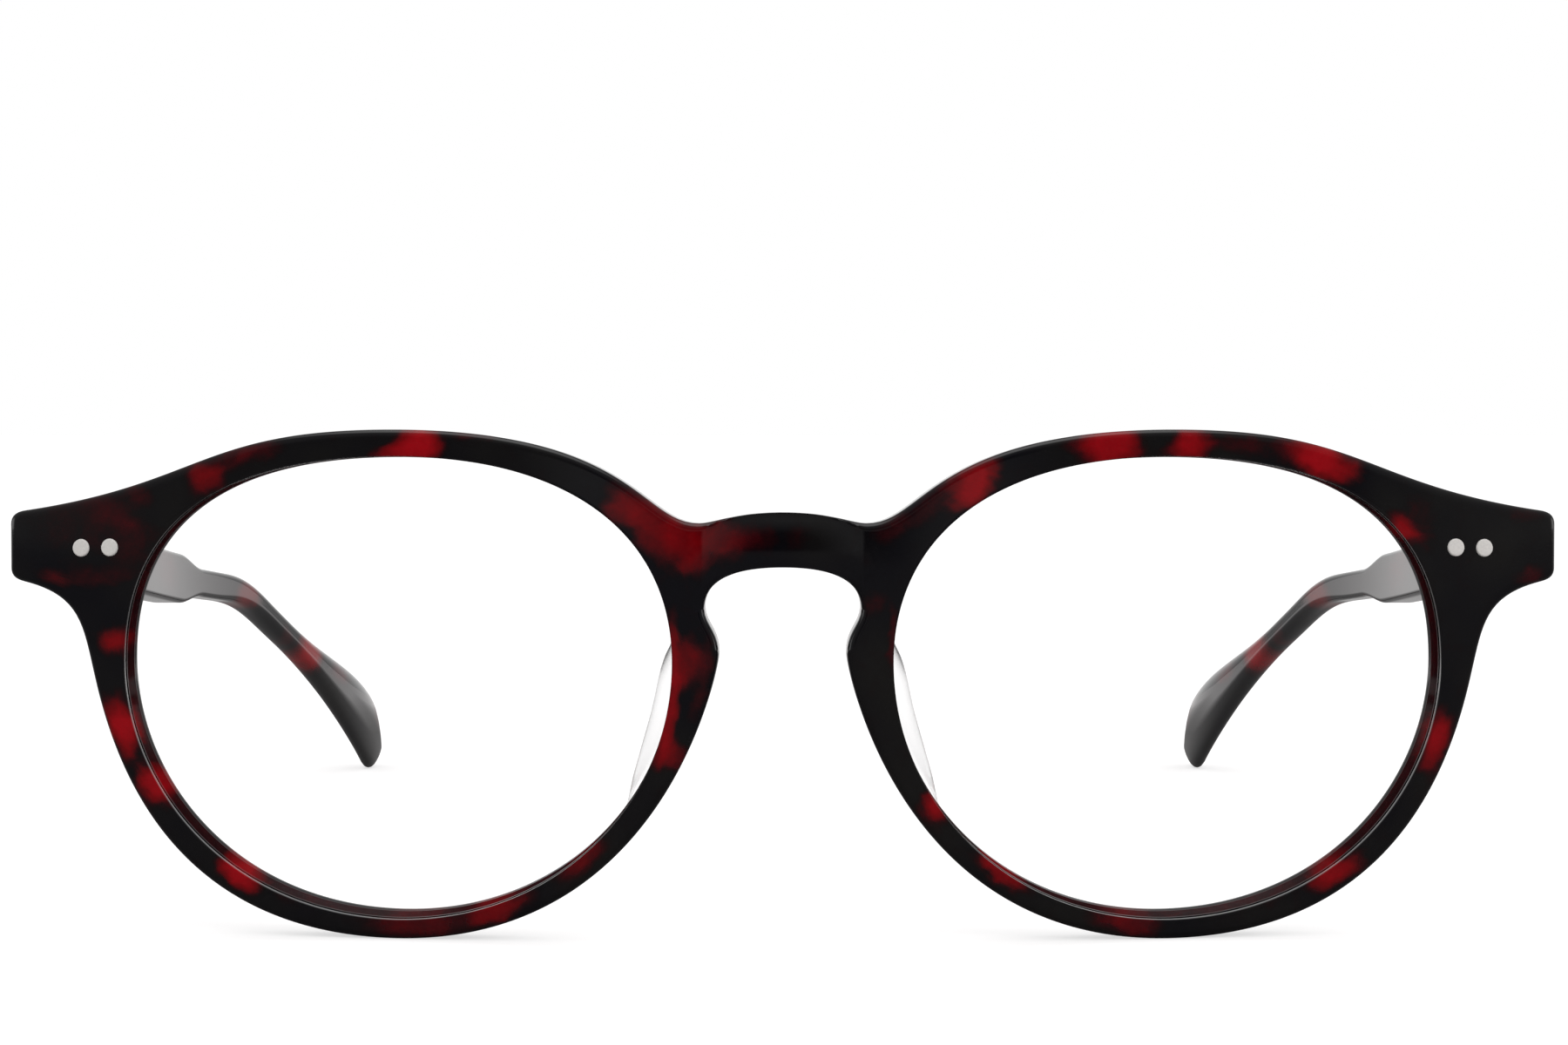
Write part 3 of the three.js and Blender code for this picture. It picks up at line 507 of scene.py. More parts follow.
def lathe(profile, sides=48):
    """Points and faces of a closed body turned about Z from radius and height pairs"""
    around = np.arange(sides) * 2 * math.pi / sides
    rings = [
        np.stack((r * np.cos(around), r * np.sin(around), np.full(sides, z)), 1)
        for r, z in profile
    ]
    return np.concatenate(rings), tube_faces(len(profile), sides)


def bar(radius, low, high, sides=40):
    """Points and faces of a round bar along Z"""
    return lathe([(radius, low), (radius, high)], sides)


def block(low, high):
    """Points and faces of a box between two corners"""
    xs, ys, zs = zip(low, high)
    corners = [(x, y, z) for z in zs for y in ys for x in xs]
    faces = [(0, 2, 3, 1), (4, 5, 7, 6), (0, 1, 5, 4), (2, 6, 7, 3), (0, 4, 6, 2), (1, 3, 7, 5)]
    return np.array(corners, float), faces


def matrixed(points, matrix):
    """The points turned and moved by a matrix"""
    turned = np.array(matrix)
    return points @ turned[:3, :3].T + turned[:3, 3]


def boxed(mesh):
    """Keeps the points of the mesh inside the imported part's box"""
    inside = np.clip(positions(mesh), cad_box[0], cad_box[1])
    mesh.vertices.foreach_set("co", inside.astype(np.float32).ravel())
    mesh.update()
    return mesh


def cut_away(mesh, cutters):
    """The mesh with each cutter's body taken out of it, one after another"""
    body = placed("cut_work", mesh)
    used = []
    for points, faces in cutters:
        used.append(placed("cut_tool", tidied(mesh_from("cut_tool", points, faces))))
        step = body.modifiers.new("Cut", "BOOLEAN")
        step.operation, step.solver, step.object = "DIFFERENCE", "EXACT", used[-1]
    bpy.context.view_layer.update()
    solved = body.evaluated_get(bpy.context.evaluated_depsgraph_get())
    done = bpy.data.meshes.new_from_object(solved)
    for thing in (body, *used):
        old = thing.data
        bpy.data.objects.remove(thing)
        bpy.data.meshes.remove(old)
    return done


def both_sides(points, faces):
    """A cutter and its mirror image as one"""
    mirrored_faces = [[v + len(points) for v in f][::-1] for f in faces]
    return np.concatenate((points, points * (-1, 1, 1))), [*faces, *mirrored_faces]


# Mottle of the acetate

# Soft flakes: place in millimetres across or along and up, two half sizes, turn in degrees, strength
FRONT_FLAKES = (
    (-61.3, 36.3, 5.5, 2.6, -15, 0.12), (-59.7, 37.7, 2.8, 1.2, -25, 0.2),
    (-57.2, 39.2, 1.5, 0.8, -30, 0.26), (-57.8, 34.6, 1.6, 2.4, 0, 0.13),
    (-65.1, 31.8, 1.3, 0.7, -25, 0.32), (-60.6, 31.8, 3.4, 0.8, 3, 0.22),
    (-50.7, 40.6, 1.4, 1.2, 25, 0.5), (-52, 41.5, 1, 0.8, 0, 0.25), (-48.8, 42.3, 3, 0.8, 25, 0.26),
    (-45.5, 43.3, 2, 0.9, 15, 0.2), (-31.8, 43.9, 1.9, 1.7, 80, 0.95), (-33.8, 43.1, 2, 0.7, 12, 0.7),
    (-30.5, 43.6, 0.8, 1.2, 90, 0.4), (-26.9, 44.7, 2, 0.4, -5, 0.25),
    (-13.3, 38.5, 2.3, 1.2, -45, 0.45), (-14.9, 37.9, 1.2, 0.7, -42, 0.35),
    (-10.9, 36.9, 2.6, 1.7, -42, 0.42), (-8.8, 35.5, 2.4, 1.9, -60, 0.46),
    (-11.8, 35, 1.7, 0.6, -50, 0.3), (-5.4, 35.7, 2.6, 1.6, 0, 0.44), (-1.8, 35.8, 1.3, 1.3, 0, 0.14),
    (-7.6, 33.6, 1, 1, 0, 0.28), (-9.6, 25.7, 3, 0.6, 92, 0.62), (-8.2, 25.1, 2, 1, 88, 0.5),
    (-8.9, 23.5, 1.2, 0.7, 90, 0.35), (-10, 20.2, 3.2, 0.62, 80, 0.72),
    (-10.4, 17.1, 1.4, 0.9, 60, 0.62), (-9.1, 16.7, 1.1, 0.9, 45, 0.42),
    (-6.7, 24.9, 2.2, 0.5, 84, 0.25), (-7.3, 21.5, 1.6, 0.6, 70, 0.2), (-17.8, 7.6, 2.1, 1, 38, 0.48),
    (-16.2, 9, 1.1, 0.9, 40, 0.15), (-25.7, 2.8, 2, 1.1, 15, 0.62), (-23.3, 4, 1.6, 0.9, 22, 0.32),
    (-32.2, 1.6, 4.2, 1.4, 0, 0.38), (-43.9, 3.3, 1.2, 0.5, -20, 0.1),
    (-48.3, 5.5, 1.9, 1.15, -36, 0.95), (-49.2, 6.4, 1, 0.6, -40, 0.3),
    (-47.2, 4.8, 1.1, 0.8, -30, 0.3), (-55.8, 13.4, 1.9, 0.9, -56, 0.92),
    (-56.6, 12.7, 1.3, 0.7, -58, 0.42), (-58.6, 18.5, 2.3, 1.05, -74, 0.98),
    (-59.4, 18.1, 1.9, 0.6, -70, 0.42), (-58.3, 15.8, 0.9, 0.6, -60, 0.15),
    (-59.3, 26.1, 1.3, 1, 0, 0.7), (-60.2, 20.4, 1.2, 0.5, -75, 0.2), (9.3, 36.6, 1.6, 1, 30, 0.2),
    (12.4, 38.3, 2.4, 0.9, 35, 0.2), (16.6, 40.4, 2, 1.4, 52, 0.85), (14.7, 40.6, 1.4, 0.7, 38, 0.3),
    (18.3, 41.8, 1.1, 0.6, 35, 0.42), (15.3, 38.7, 1, 0.7, 38, 0.32), (8.1, 30.1, 1.1, 1, 0, 0.22),
    (9.6, 26.9, 2.8, 0.35, 90, 0.26), (1.1, 35.9, 1, 1.2, 0, 0.1), (28.6, 43.9, 2.4, 2.2, 0, 0.85),
    (25.8, 43.7, 0.8, 1.4, 70, 0.25), (35.8, 43.8, 1.5, 1.5, 100, 0.82),
    (34.4, 43.4, 0.7, 1.2, 110, 0.3), (40.1, 43.7, 2.2, 0.8, -6, 0.25),
    (47.1, 42.5, 2.4, 1.5, -25, 0.9), (49.8, 41.4, 1.1, 1.3, -50, 0.55),
    (44, 43.3, 1.1, 1.2, -10, 0.3), (54.9, 36.2, 1.45, 0.8, -48, 0.7),
    (56.4, 37.6, 1.2, 1.5, 20, 0.16), (56.9, 35.1, 0.8, 1.2, 0, 0.16),
    (66.5, 31.8, 1.4, 0.7, 12, 0.26), (66.2, 37.2, 1.6, 0.5, -8, 0.14),
    (58.3, 17.7, 1.9, 1.1, 75, 0.82), (57.5, 15.5, 1, 0.9, 60, 0.45), (58, 14.1, 0.9, 0.7, 60, 0.14),
    (48.9, 5.7, 1.8, 1.1, 32, 0.78), (50.9, 6.6, 0.9, 1, 40, 0.25), (47.4, 4.7, 0.9, 0.9, 30, 0.32),
    (43.4, 3.3, 1.2, 0.5, 15, 0.12), (31, 1.8, 2.1, 1.3, 0, 0.42), (28.4, 2.3, 1.6, 0.9, -8, 0.26),
    (19.1, 6.6, 2, 0.9, -38, 0.72), (20.8, 5.1, 1.2, 0.8, -35, 0.26), (17.5, 7.3, 1, 0.8, -40, 0.2),
    (13.3, 12.3, 1.2, 0.8, -50, 0.78), (12.3, 12, 0.9, 0.8, -50, 0.3), (13.1, 10.8, 1, 0.7, -40, 0.1),
)
TEMPLE_FLAKES = (
    (12, 1.0, 4.0, 2.0, 30, 0.5), (24, -1.2, 4.2, 1.8, 150, 0.8), (37, 0.8, 4.4, 1.7, 20, 0.45),
    (56, 0.8, 6.5, 2.4, 175, 0.3), (91, -0.2, 4.2, 1.7, 15, 0.62), (104, -1.0, 1.8, 1.0, 150, 0.25),
    (111.5, 0.3, 4.4, 2.3, 35, 0.9), (122, 1.4, 4.2, 1.3, 15, 0.36), (140, 2.4, 2.2, 1.4, 0, 0.32),
)
# Unevenness of the flakes' edges: how far in millimetres and how often
FLAKE_WAVES = ((0.26, 0.75), (0.16, 1.9))
# Where a flake fades out, in its half sizes, and the part of that in which it fades
FLAKE_END, FLAKE_FADE = 1.65, 1.25

# Red that the thin acetate round the lenses shows everywhere
EDGE_RED = 0.24


def ripple(u, v, w):
    """A smooth fixed unevenness between about -1 and 1"""
    return (
        np.sin(1.9 * u + 1.3 * np.sin(1.1 * v + 0.7 * w) + 0.4)
        + 0.6 * np.sin(3.7 * v - 2.1 * u + 1.7 * w + 1.9)
        + 0.4 * np.sin(6.1 * u + 4.7 * v - 2.3 * w + 0.8)
    ) / 2


def mottled(mesh, flakes, places, least=0.0):
    """Stores how red each point of the mesh is, from flakes in the places' own two directions"""
    mm = places * 1000
    u, v = mm[:, 0].copy(), mm[:, 1].copy()
    for reach, often in FLAKE_WAVES:
        a, b, c = (often * mm[:, k] for k in range(3))
        u, v = u + reach * ripple(a, b, 0.6 * c), v + reach * ripple(b + 3, a, 0.6 * c)
    red = np.zeros(len(mm))
    for across, up, long, wide, turned, strength in flakes:
        c, s = math.cos(math.radians(turned)), math.sin(math.radians(turned))
        du, dv = u - across, v - up
        reach = np.hypot((du * c + dv * s) / long, (dv * c - du * s) / wide)
        soft = np.clip(FLAKE_END - reach, 0, FLAKE_FADE) / FLAKE_FADE
        bloom = strength * soft * soft * (3 - 2 * soft)
        red += bloom * (1 - red)
    red = np.maximum(red, least)
    layer = mesh.attributes.new("mottle", "FLOAT", "POINT")
    layer.data.foreach_set("value", red.astype(np.float32))
    return mesh


def positions(mesh):
    """The places of the mesh's points"""
    points = np.zeros(len(mesh.vertices) * 3, np.float32)
    mesh.vertices.foreach_get("co", points)
    return points.reshape(-1, 3).astype(float)


# Materials


class Nodes:
    """Builds the nodes of one material, or of the world, around its shader"""

    def __init__(self, name, world=False):
        self.material = (bpy.data.worlds if world else bpy.data.materials).new(name)
        self.material.use_nodes = True
        self.tree = self.material.node_tree
        self.shader = self.tree.nodes["Background" if world else "Principled BSDF"]
        self.output = self.tree.nodes["World Output" if world else "Material Output"]

    def put(self, socket, value):
        """Gives a socket a constant, or links another node's output to it"""
        if isinstance(value, bpy.types.NodeSocket):
            self.tree.links.new(value, socket)
        else:
            socket.default_value = value

    def add(self, kind, settings=(), **sockets):
        """A node with its settings, and a value or source for each input that is named"""
        node = self.tree.nodes.new(kind)
        for key, value in dict(settings).items():
            setattr(node, key, value)
        return self.fill(node, **sockets)

    def fill(self, node, **sockets):
        """Gives the named inputs of a node their values or sources"""
        for key, value in sockets.items():
            self.put(node.inputs[key.replace("_", " ")], value)
        return node

    def coordinates(self, kind):
        """Coordinates from the object or its surroundings"""
        return self.add("ShaderNodeTexCoord").outputs[kind]

    def axes(self, kind):
        """The three numbers of the coordinates, by axis"""
        return self.add("ShaderNodeSeparateXYZ", Vector=self.coordinates(kind)).outputs

    def stored(self, name):
        """A number that the mesh stores at each point"""
        return self.add("ShaderNodeAttribute", {"attribute_name": name}).outputs["Fac"]

    def noise(self, scale, detail=4.0, roughness=0.5, distortion=0.0):
        """Noise in the object's own coordinates, its scale in features per metre"""
        sockets = {"Scale": scale, "Detail": detail, "Roughness": roughness}
        where = self.coordinates("Object")
        node = self.add("ShaderNodeTexNoise", Vector=where, Distortion=distortion, **sockets)
        return node.outputs["Fac"]

    def spread(self, value, low, high, out_low, out_high):
        """The value's range from low to high, stretched to another range"""
        ends = {"From Min": low, "From Max": high, "To Min": out_low, "To Max": out_high}
        return self.add("ShaderNodeMapRange", Value=value, **ends).outputs["Result"]

    def math(self, operation, first, second=0.0):
        """The result of an operation on one or two numbers"""
        node = self.add("ShaderNodeMath", {"operation": operation})
        self.put(node.inputs[0], first)
        self.put(node.inputs[1], second)
        return node.outputs["Value"]

    def blend(self, share, first, second):
        """Between two numbers, by a share"""
        return self.add("ShaderNodeMix", Factor=share, A=first, B=second).outputs["Result"]

    def rays(self):
        """The kind of ray, and one where the camera looks, straight or through something clear"""
        ray = self.add("ShaderNodeLightPath").outputs
        return ray, self.math("MAXIMUM", ray["Is Camera Ray"], ray["Is Transmission Ray"])

    def ramp(self, value, stops):
        """Colours between stops, each a place and a colour"""
        node = self.add("ShaderNodeValToRGB", Fac=value)
        points = node.color_ramp.elements
        while len(points) < len(stops):
            points.new(0.5)
        for point, (place, shade) in zip(points, stops):
            point.position = place
            point.color = (*shade, 1)
        return node.outputs["Color"]

    def bump(self, value, distance, strength):
        """Fine relief of the surface"""
        node = self.add("ShaderNodeBump", Strength=strength, Distance=distance, Height=value)
        self.fill(self.shader, Normal=node.outputs["Normal"])

    def mixed(self, share, first, second):
        """A mix of two shaders"""
        node = self.add("ShaderNodeMixShader")
        for source, socket in zip((share, first, second), node.inputs):
            self.put(socket, source)
        return node.outputs["Shader"]

    def finish(self, shader):
        """Ends the material in a shader of its own"""
        self.fill(self.output, Surface=shader)
        return self.material


# Parts of a noise's range that are stretched to a full one
MIDDLE_RANGE, BROAD_RANGE, SMEAR_RANGE = (0.3, 0.7), (0.2, 0.8), (0.35, 0.75)
# How often the acetate's noises repeat in a flake's size, and how much two of them redden it
FINE_RATE, PATCH_RATE = 5, 0.16
CLOUD_REDDENING, FINE_REDDENING = 0.06, 0.02
# Redness at which the acetate is maroon and half red, and where its two blacks are pure
MAROON_AT, HALF_RED_AT = 0.3, 0.68
NIGHT_AT, BLACK_AT = 0.4, 0.62
ACETATE_ROUGHNESS, ACETATE_IOR = (0.05, 0.1), 1.49


def acetate(name, finish, gloss):
    """Acetate, black with soft deep red flakes"""
    n = Nodes(name)
    cloud = n.noise(1 / finish.flake, detail=3.0, roughness=0.55, distortion=0.6)
    fine = n.noise(FINE_RATE / finish.flake, detail=2.0)
    red = n.stored("mottle")
    for noise, most in ((cloud, CLOUD_REDDENING), (fine, FINE_REDDENING)):
        red = n.math("ADD", red, n.spread(noise, *MIDDLE_RANGE, -most, most))
    half_red = tuple(0.5 * c for c in finish.red)
    stops = ((0.0, (0, 0, 0)), (MAROON_AT, finish.maroon), (HALF_RED_AT, half_red))
    flakes = n.ramp(red, (*stops, (1.0, finish.red)))
    patches = n.noise(PATCH_RATE / finish.flake, detail=2.0)
    ground = n.ramp(patches, ((NIGHT_AT, finish.night), (BLACK_AT, finish.black)))
    shades = n.add("ShaderNodeMix", {"data_type": "RGBA"})
    n.put(shades.inputs["Factor"], n.spread(red, 0.0, MAROON_AT, 1.0, 0.0))
    n.put(shades.inputs[6], flakes)
    n.put(shades.inputs[7], ground)
    polish = n.spread(fine, *BROAD_RANGE, *ACETATE_ROUGHNESS)
    n.fill(n.shader, Base_Color=shades.outputs[2], Roughness=polish)
    n.fill(n.shader, IOR=ACETATE_IOR, Specular_IOR_Level=gloss)
    return n.material


# How fast a clear surface's mirror grows where it turns away, and the share it starts from
MIRROR_POWER, LENS_MIRROR, PAD_MIRROR = 5.0, 0.008, 0.002
# How fast and how far painted shade darkens a pad where it turns away, and how fast its painted edge
# line fades
PAINTED_SHADE_POWER, PAINTED_SHADE_SHARE, LINE_POWER = 9.0, 0.08, 2.0
# The dark grey painted onto a pad as shade, along its rear edge and where it turns away
PAINTED_SHADE_COLOUR = (0.02, 0.02, 0.02, 1)
# Smears on a metre of clear surface
SMEARS = 180.0


def mirroring(name, finish, rough_low, rough_high, straight):
    """A white mirror, its share of a clear surface, and how far that surface turns away"""
    n = Nodes(name)
    rough = n.spread(n.noise(SMEARS), *SMEAR_RANGE, rough_low, rough_high)
    n.fill(n.shader, Base_Color=(*finish.clear, 1), Metallic=1.0, Roughness=rough)
    turning = n.add("ShaderNodeLayerWeight", Blend=0.5).outputs["Facing"]
    share = n.spread(n.math("POWER", turning, MIRROR_POWER), 0.0, 1.0, straight, 1.0)
    return n, share, turning


def coated(name, finish):
    """Clear lens with a faint mirror that grows towards its edge"""
    n, share, _ = mirroring(name, finish, 0.0, 0.02, LENS_MIRROR)
    clear = n.add("ShaderNodeBsdfTransparent").outputs["BSDF"]
    return n.finish(n.mixed(share, clear, n.shader.outputs["BSDF"]))


def clear_plastic(name, finish):
    """Clear plastic with a faint mirror, and painted shade: a thin dark line along the pad's rear
    edge and a darkening where the pad turns away
    """
    n, share, turning = mirroring(name, finish, 0.02, 0.1, PAD_MIRROR)
    # Painted shade: a dark diffuse mixed in where the pad turns away and along its rear edge
    faint = n.spread(n.math("POWER", turning, PAINTED_SHADE_POWER), 0.0, 1.0, 0.0, PAINTED_SHADE_SHARE)
    line = n.math("POWER", n.stored("edge_line"), LINE_POWER)
    clear = n.add("ShaderNodeBsdfTransparent").outputs["BSDF"]
    dim = n.add("ShaderNodeBsdfDiffuse", Color=PAINTED_SHADE_COLOUR).outputs["BSDF"]
    edged = n.mixed(n.math("ADD", line, faint), clear, dim)
    return n.finish(n.mixed(share, edged, n.shader.outputs["BSDF"]))


# The metal's grain: how much it darkens the metal, how deep it is and how strongly it shows
GRAIN_SHADE, GRAIN_DEPTH, GRAIN_STRENGTH = 0.86, 0.00001, 0.3


def metal(name, finish, kind, metallic, rough_low, rough_high, grain):
    """Metal with fine satin grain"""
    n = Nodes(name)
    shade = getattr(finish, kind)
    fine = n.noise(grain, detail=3.0, roughness=0.6)
    tint = n.ramp(fine, ((0.25, tuple(GRAIN_SHADE * c for c in shade)), (0.75, tuple(shade))))
    rough = n.spread(fine, *BROAD_RANGE, rough_low, rough_high)
    n.fill(n.shader, Base_Color=tint, Roughness=rough, Metallic=metallic)
    n.bump(fine, GRAIN_DEPTH, GRAIN_STRENGTH)
    return n.material


# Each material's maker and values: gloss for acetate, and for metal its colour, how metallic it is,
# its least and most roughness and its grain in features per metre. The groove's acetate is seen
# through the lens, so it has little gloss of its own.
LOOKS = {
    "polished_tortoise": (acetate, 0.5),
    "tortoise_behind_lens": (acetate, 0.1),
    "coated_lens": (coated,),
    "clear_pad": (clear_plastic,),
    "satin_nickel": (metal, "nickel", 0.3, 0.42, 0.6, 5200.0),
    "satin_steel": (metal, "steel", 0.8, 0.28, 0.45, 3400.0),
}


def look(name):
    """The named material, made on first use"""
    make, *values = LOOKS[name]
    return bpy.data.materials.get(name) or make(name, bpy.context.scene.eye_finish, *values)


# Front

# Steps round an edge, across the rim, down its outer wall, across the bridge and along half of it
FILLET_STEPS, ACROSS_STEPS, WALL_STEPS, CUT_STEPS, BRIDGE_STEPS = 5, 12, 3, 12, 28
# Metres between the points of the outline and of the lens opening
OUTLINE_SPACING, LENS_SPACING = 0.0006, 0.0006
# How far a cutter reaches past the acetate, and the play round a rivet's head
SPARE, RIVET_PLAY = 0.003, 0.00002


def fillet(deep, wide, rising):
    """Inset and depth of the rows round an edge, from the side wall to the face if rising"""
    turned = np.linspace(0, math.pi / 2, FILLET_STEPS + 1)
    rows = [(wide * (1 - math.cos(a)), deep * (1 - math.sin(a))) for a in turned]
    return rows if rising else rows[::-1]


def wall_depths(deep, thickness):
    """Depths of the rows down a flat wall between two rounded edges"""
    return np.linspace(deep, thickness - deep, WALL_STEPS + 1)[1:-1]


def section_rows(first, last, deep, steps, wall):
    """Rows round a section: share from its first side to its last, inset from either, depth"""
    shares = np.linspace(0, 1, steps + 1)[1:-1]
    rows = [(0, inset, 0, depth) for inset, depth in fillet(*first, True)]
    rows += [(s, first[1], last[1], 0) for s in shares]
    rows += [(1, 0, inset, depth) for inset, depth in [*fillet(*last, False), *wall]]
    rows += [(1, 0, inset, deep - depth) for inset, depth in fillet(*last, True)]
    rows += [(s, first[1], last[1], deep) for s in shares[::-1]]
    rows += [(0, inset, 0, deep - depth) for inset, depth in fillet(*first, False)]
    return rows + [(0, 0, 0, depth) for depth in wall_depths(first[0], deep)[::-1]]


def scooped(plan, points):
    """Pushes the bridge's face back to the shallow, slightly turned-up hollow across it"""
    f = plan.f
    middle_z = (plan.bridge_top[1] + plan.key_top[1]) / 2
    x, y, z = points.T
    face = plan.bend(x, z, 0)[:, 1]
    within = np.maximum(0, 1 - (2 * x / f.scoop_width) ** 2)
    rise = np.clip((z - middle_z) / (f.bridge_depth / 2), -1, 1)
    deep = f.scoop_depth + f.scoop_crown * rise**2 + f.scoop_turn * rise
    deep = deep * within * smooth((z - plan.key_side[1]) / f.scoop_fade)
    moved = points.copy()
    moved[:, 1] = np.where(within > 0, np.maximum(y, face + deep), y)
    return moved


def leaned(f, way, depth):
    """Inward shift of a lens opening's wall, which widens to its back beside the temple"""
    return way * np.maximum(0, way[:, :1]) * f.lens_lean * (1 - depth / f.thickness)


def rim_grid(plan):
    """Points and faces of a rim, open towards the bridge"""
    f = plan.f
    outline, facing = plan.rim_outline(OUTLINE_SPACING)
    out_way = normals(outline, False)
    inset = (outline - out_way * f.edge_soft)[[-1, 0]]
    shares = np.linspace(0, 1, CUT_STEPS + 2)[1:-1, None]
    cut = inset[0] + (inset[1] - inset[0]) * shares
    outer = np.concatenate((outline, cut))
    facing = np.concatenate((facing, np.zeros(CUT_STEPS)))
    out_way = np.concatenate((out_way, np.zeros_like(cut)))
    free = np.arange(len(outer)) < len(outline)
    lens = plan.lens_loop(LENS_SPACING)
    around = np.unwrap(np.arctan2(*(lens - plan.lens_centre).T[::-1]))
    angle = np.unwrap(np.arctan2(*(outer - plan.lens_centre).T[::-1])) + facing
    inner = read_at(angle, around, lens)
    in_way = read_at(angle, around, normals(lens, True))
    in_way /= np.linalg.norm(in_way, axis=1)[:, None]
    middle, half = f.thickness / 2, f.groove_width / 2
    wall = ((0, 2 * f.lip_round), (0, middle - half), (f.groove_depth, middle), (0, middle + half))
    edge, lip = (f.edge_round, f.edge_soft), (f.lip_round, f.lip_soft)
    rows, sections = [], section_rows(edge, lip, f.thickness, ACROSS_STEPS, wall)
    for share, inset, outset, depth in sections:
        opening = inner + in_way * outset - leaned(f, in_way, depth)
        flat = (outer - out_way * inset) * (1 - share) + opening * share
        face = 0 if depth < f.thickness / 2 else f.thickness
        deep = np.where(free | (share > 0), depth, face)
        rows.append(plan.bend(flat[:, 0], flat[:, 1], deep))
    count = len(outer)
    quads = grid_faces(len(rows), count, True, True)
    edge_row = np.array([row[0] == 0 for row in sections])[quads // count].all(axis=1)
    open_side = (~free | np.isin(np.arange(count), (0, len(outline) - 1)))[quads % count]
    return np.concatenate(rows), quads[~(edge_row & open_side.all(axis=1))]


def bridge_grid(plan):
    """Points and faces of half the bridge, open at its middle and towards the rim"""
    f = plan.f
    top, arch = plan.bridge_edges(BRIDGE_STEPS)
    top_way, arch_way = normals(top, False), -normals(arch, False)
    top_way[0], arch_way[0] = UPWARD, DOWNWARD
    outline, _ = plan.rim_outline(OUTLINE_SPACING)
    top_way[-1], arch_way[-1] = normals(outline, False)[[0, -1]]
    edge = (f.edge_round, f.edge_soft)
    wall = [(0, depth) for depth in wall_depths(f.edge_round, f.thickness)]
    rows, points = section_rows(edge, edge, f.thickness, CUT_STEPS + 1, wall), []
    for share, inset, outset, depth in rows:
        flat = (top - top_way * inset) * (1 - share) + (arch - arch_way * outset) * share
        points.append(plan.bend(flat[:, 0], flat[:, 1], np.full(len(flat), float(depth))))
    return np.concatenate(points), grid_faces(len(rows), len(top), True, False)


def front_mesh(plan):
    """The whole front before its hinge pockets are cut"""
    rim, rim_faces = rim_grid(plan)
    bridge, bridge_faces = bridge_grid(plan)
    points = scooped(plan, np.concatenate((rim, bridge)))
    faces = np.concatenate((rim_faces, bridge_faces + len(rim)))
    mesh = tidied(mesh_from("acetate_front", points, faces), weld=2e-7, mirror=True)
    mesh.transform(plan.stand)
    return boxed(mesh)


def front_rivet_matrix(plan, along):
    """Where an endpiece rivet starts on its leaf, and how far it is to the front face"""
    h, f = plan.h, plan.f
    place = (
        plan.hinge
        @ Matrix.Rotation(plan.wrap, 4, "Z")
        @ Matrix.Translation((-along, -plan.leaf_drop, -h.front_drop))
        @ Matrix.Rotation(math.pi / 2, 4, "X")
    )
    centre = plan.stand @ Vector((0, f.curve_radius, plan.mid_z))
    start = place.translation - centre
    way = place.to_3x3() @ Vector((0, 0, 1))
    lean = start.dot(way)
    length = math.sqrt(lean**2 - start.length_squared + f.curve_radius**2) - lean
    return place, length


def rivet_distances(first, h):
    """Where two rivets sit, from the pin"""
    return (first, first + h.spacing)


def rivet_seat(h, length):
    """Points and faces of the hole that a rivet's head sits in"""
    return bar(h.rivet + RIVET_PLAY, length + h.rivet_proud - h.rivet_deep, length + SPARE)


def endpiece_cutters(plan):
    """What is taken out of both endpieces: mitre, leaf pocket and rivet seats"""
    h, t = plan.h, plan.t
    tall = plan.f.endpiece_height
    mitre = block((-h.radius, -h.pin_setback, -tall), (t.thickness + SPARE, SPARE, tall))
    half = h.knuckles * h.pitch / 2 + h.leaf_fit
    low = (-h.front_leaf - h.leaf_fit, -plan.leaf_drop - h.leaf - h.leaf_fit, -half)
    pocket = block(low, (h.radius + h.leaf_fit, -plan.leaf_drop + SPARE, half))
    cuts = [(mitre, plan.hinge), (pocket, plan.hinge @ Matrix.Rotation(plan.wrap, 4, "Z"))]
    for along in rivet_distances(h.front_rivet, h):
        place, length = front_rivet_matrix(plan, along)
        cuts.append((rivet_seat(h, length), place))
    return [both_sides(matrixed(points, place), faces) for (points, faces), place in cuts]


def front_mottled(mesh, plan, least=0.0):
    """The mesh with the front's flakes, laid out in its flat pattern"""
    flat = matrixed(positions(mesh), plan.stand.inverted())
    return mottled(mesh, FRONT_FLAKES, flat[:, (0, 2, 1)], least)


class EYE_OT_front(bpy.types.Operator):
    """Builds the acetate front with its keyhole bridge and riveted endpieces"""

    bl_idname = "eye.front"
    bl_label = "Acetate front"

    def execute(self, context):
        plan = FrontPlan(context.scene)
        mesh = cut_away(front_mesh(plan), endpiece_cutters(plan))
        mesh = shaded(front_mottled(mesh, plan))
        piece("acetate_front", mesh, "front", "polished_tortoise", "front_frame")
        return {"FINISHED"}


# Lenses and pads

# A lens's rings, as shares of its reach, and the heights of its edge, as shares of half its
# thickness
LENS_RINGS = (*np.linspace(0.08, 0.95, 14), 0.985)
LENS_LIP, LENS_SHOULDER = 0.97, 0.8
# Strips of faces in the edge between its two lips
LENS_STRIPS = 4


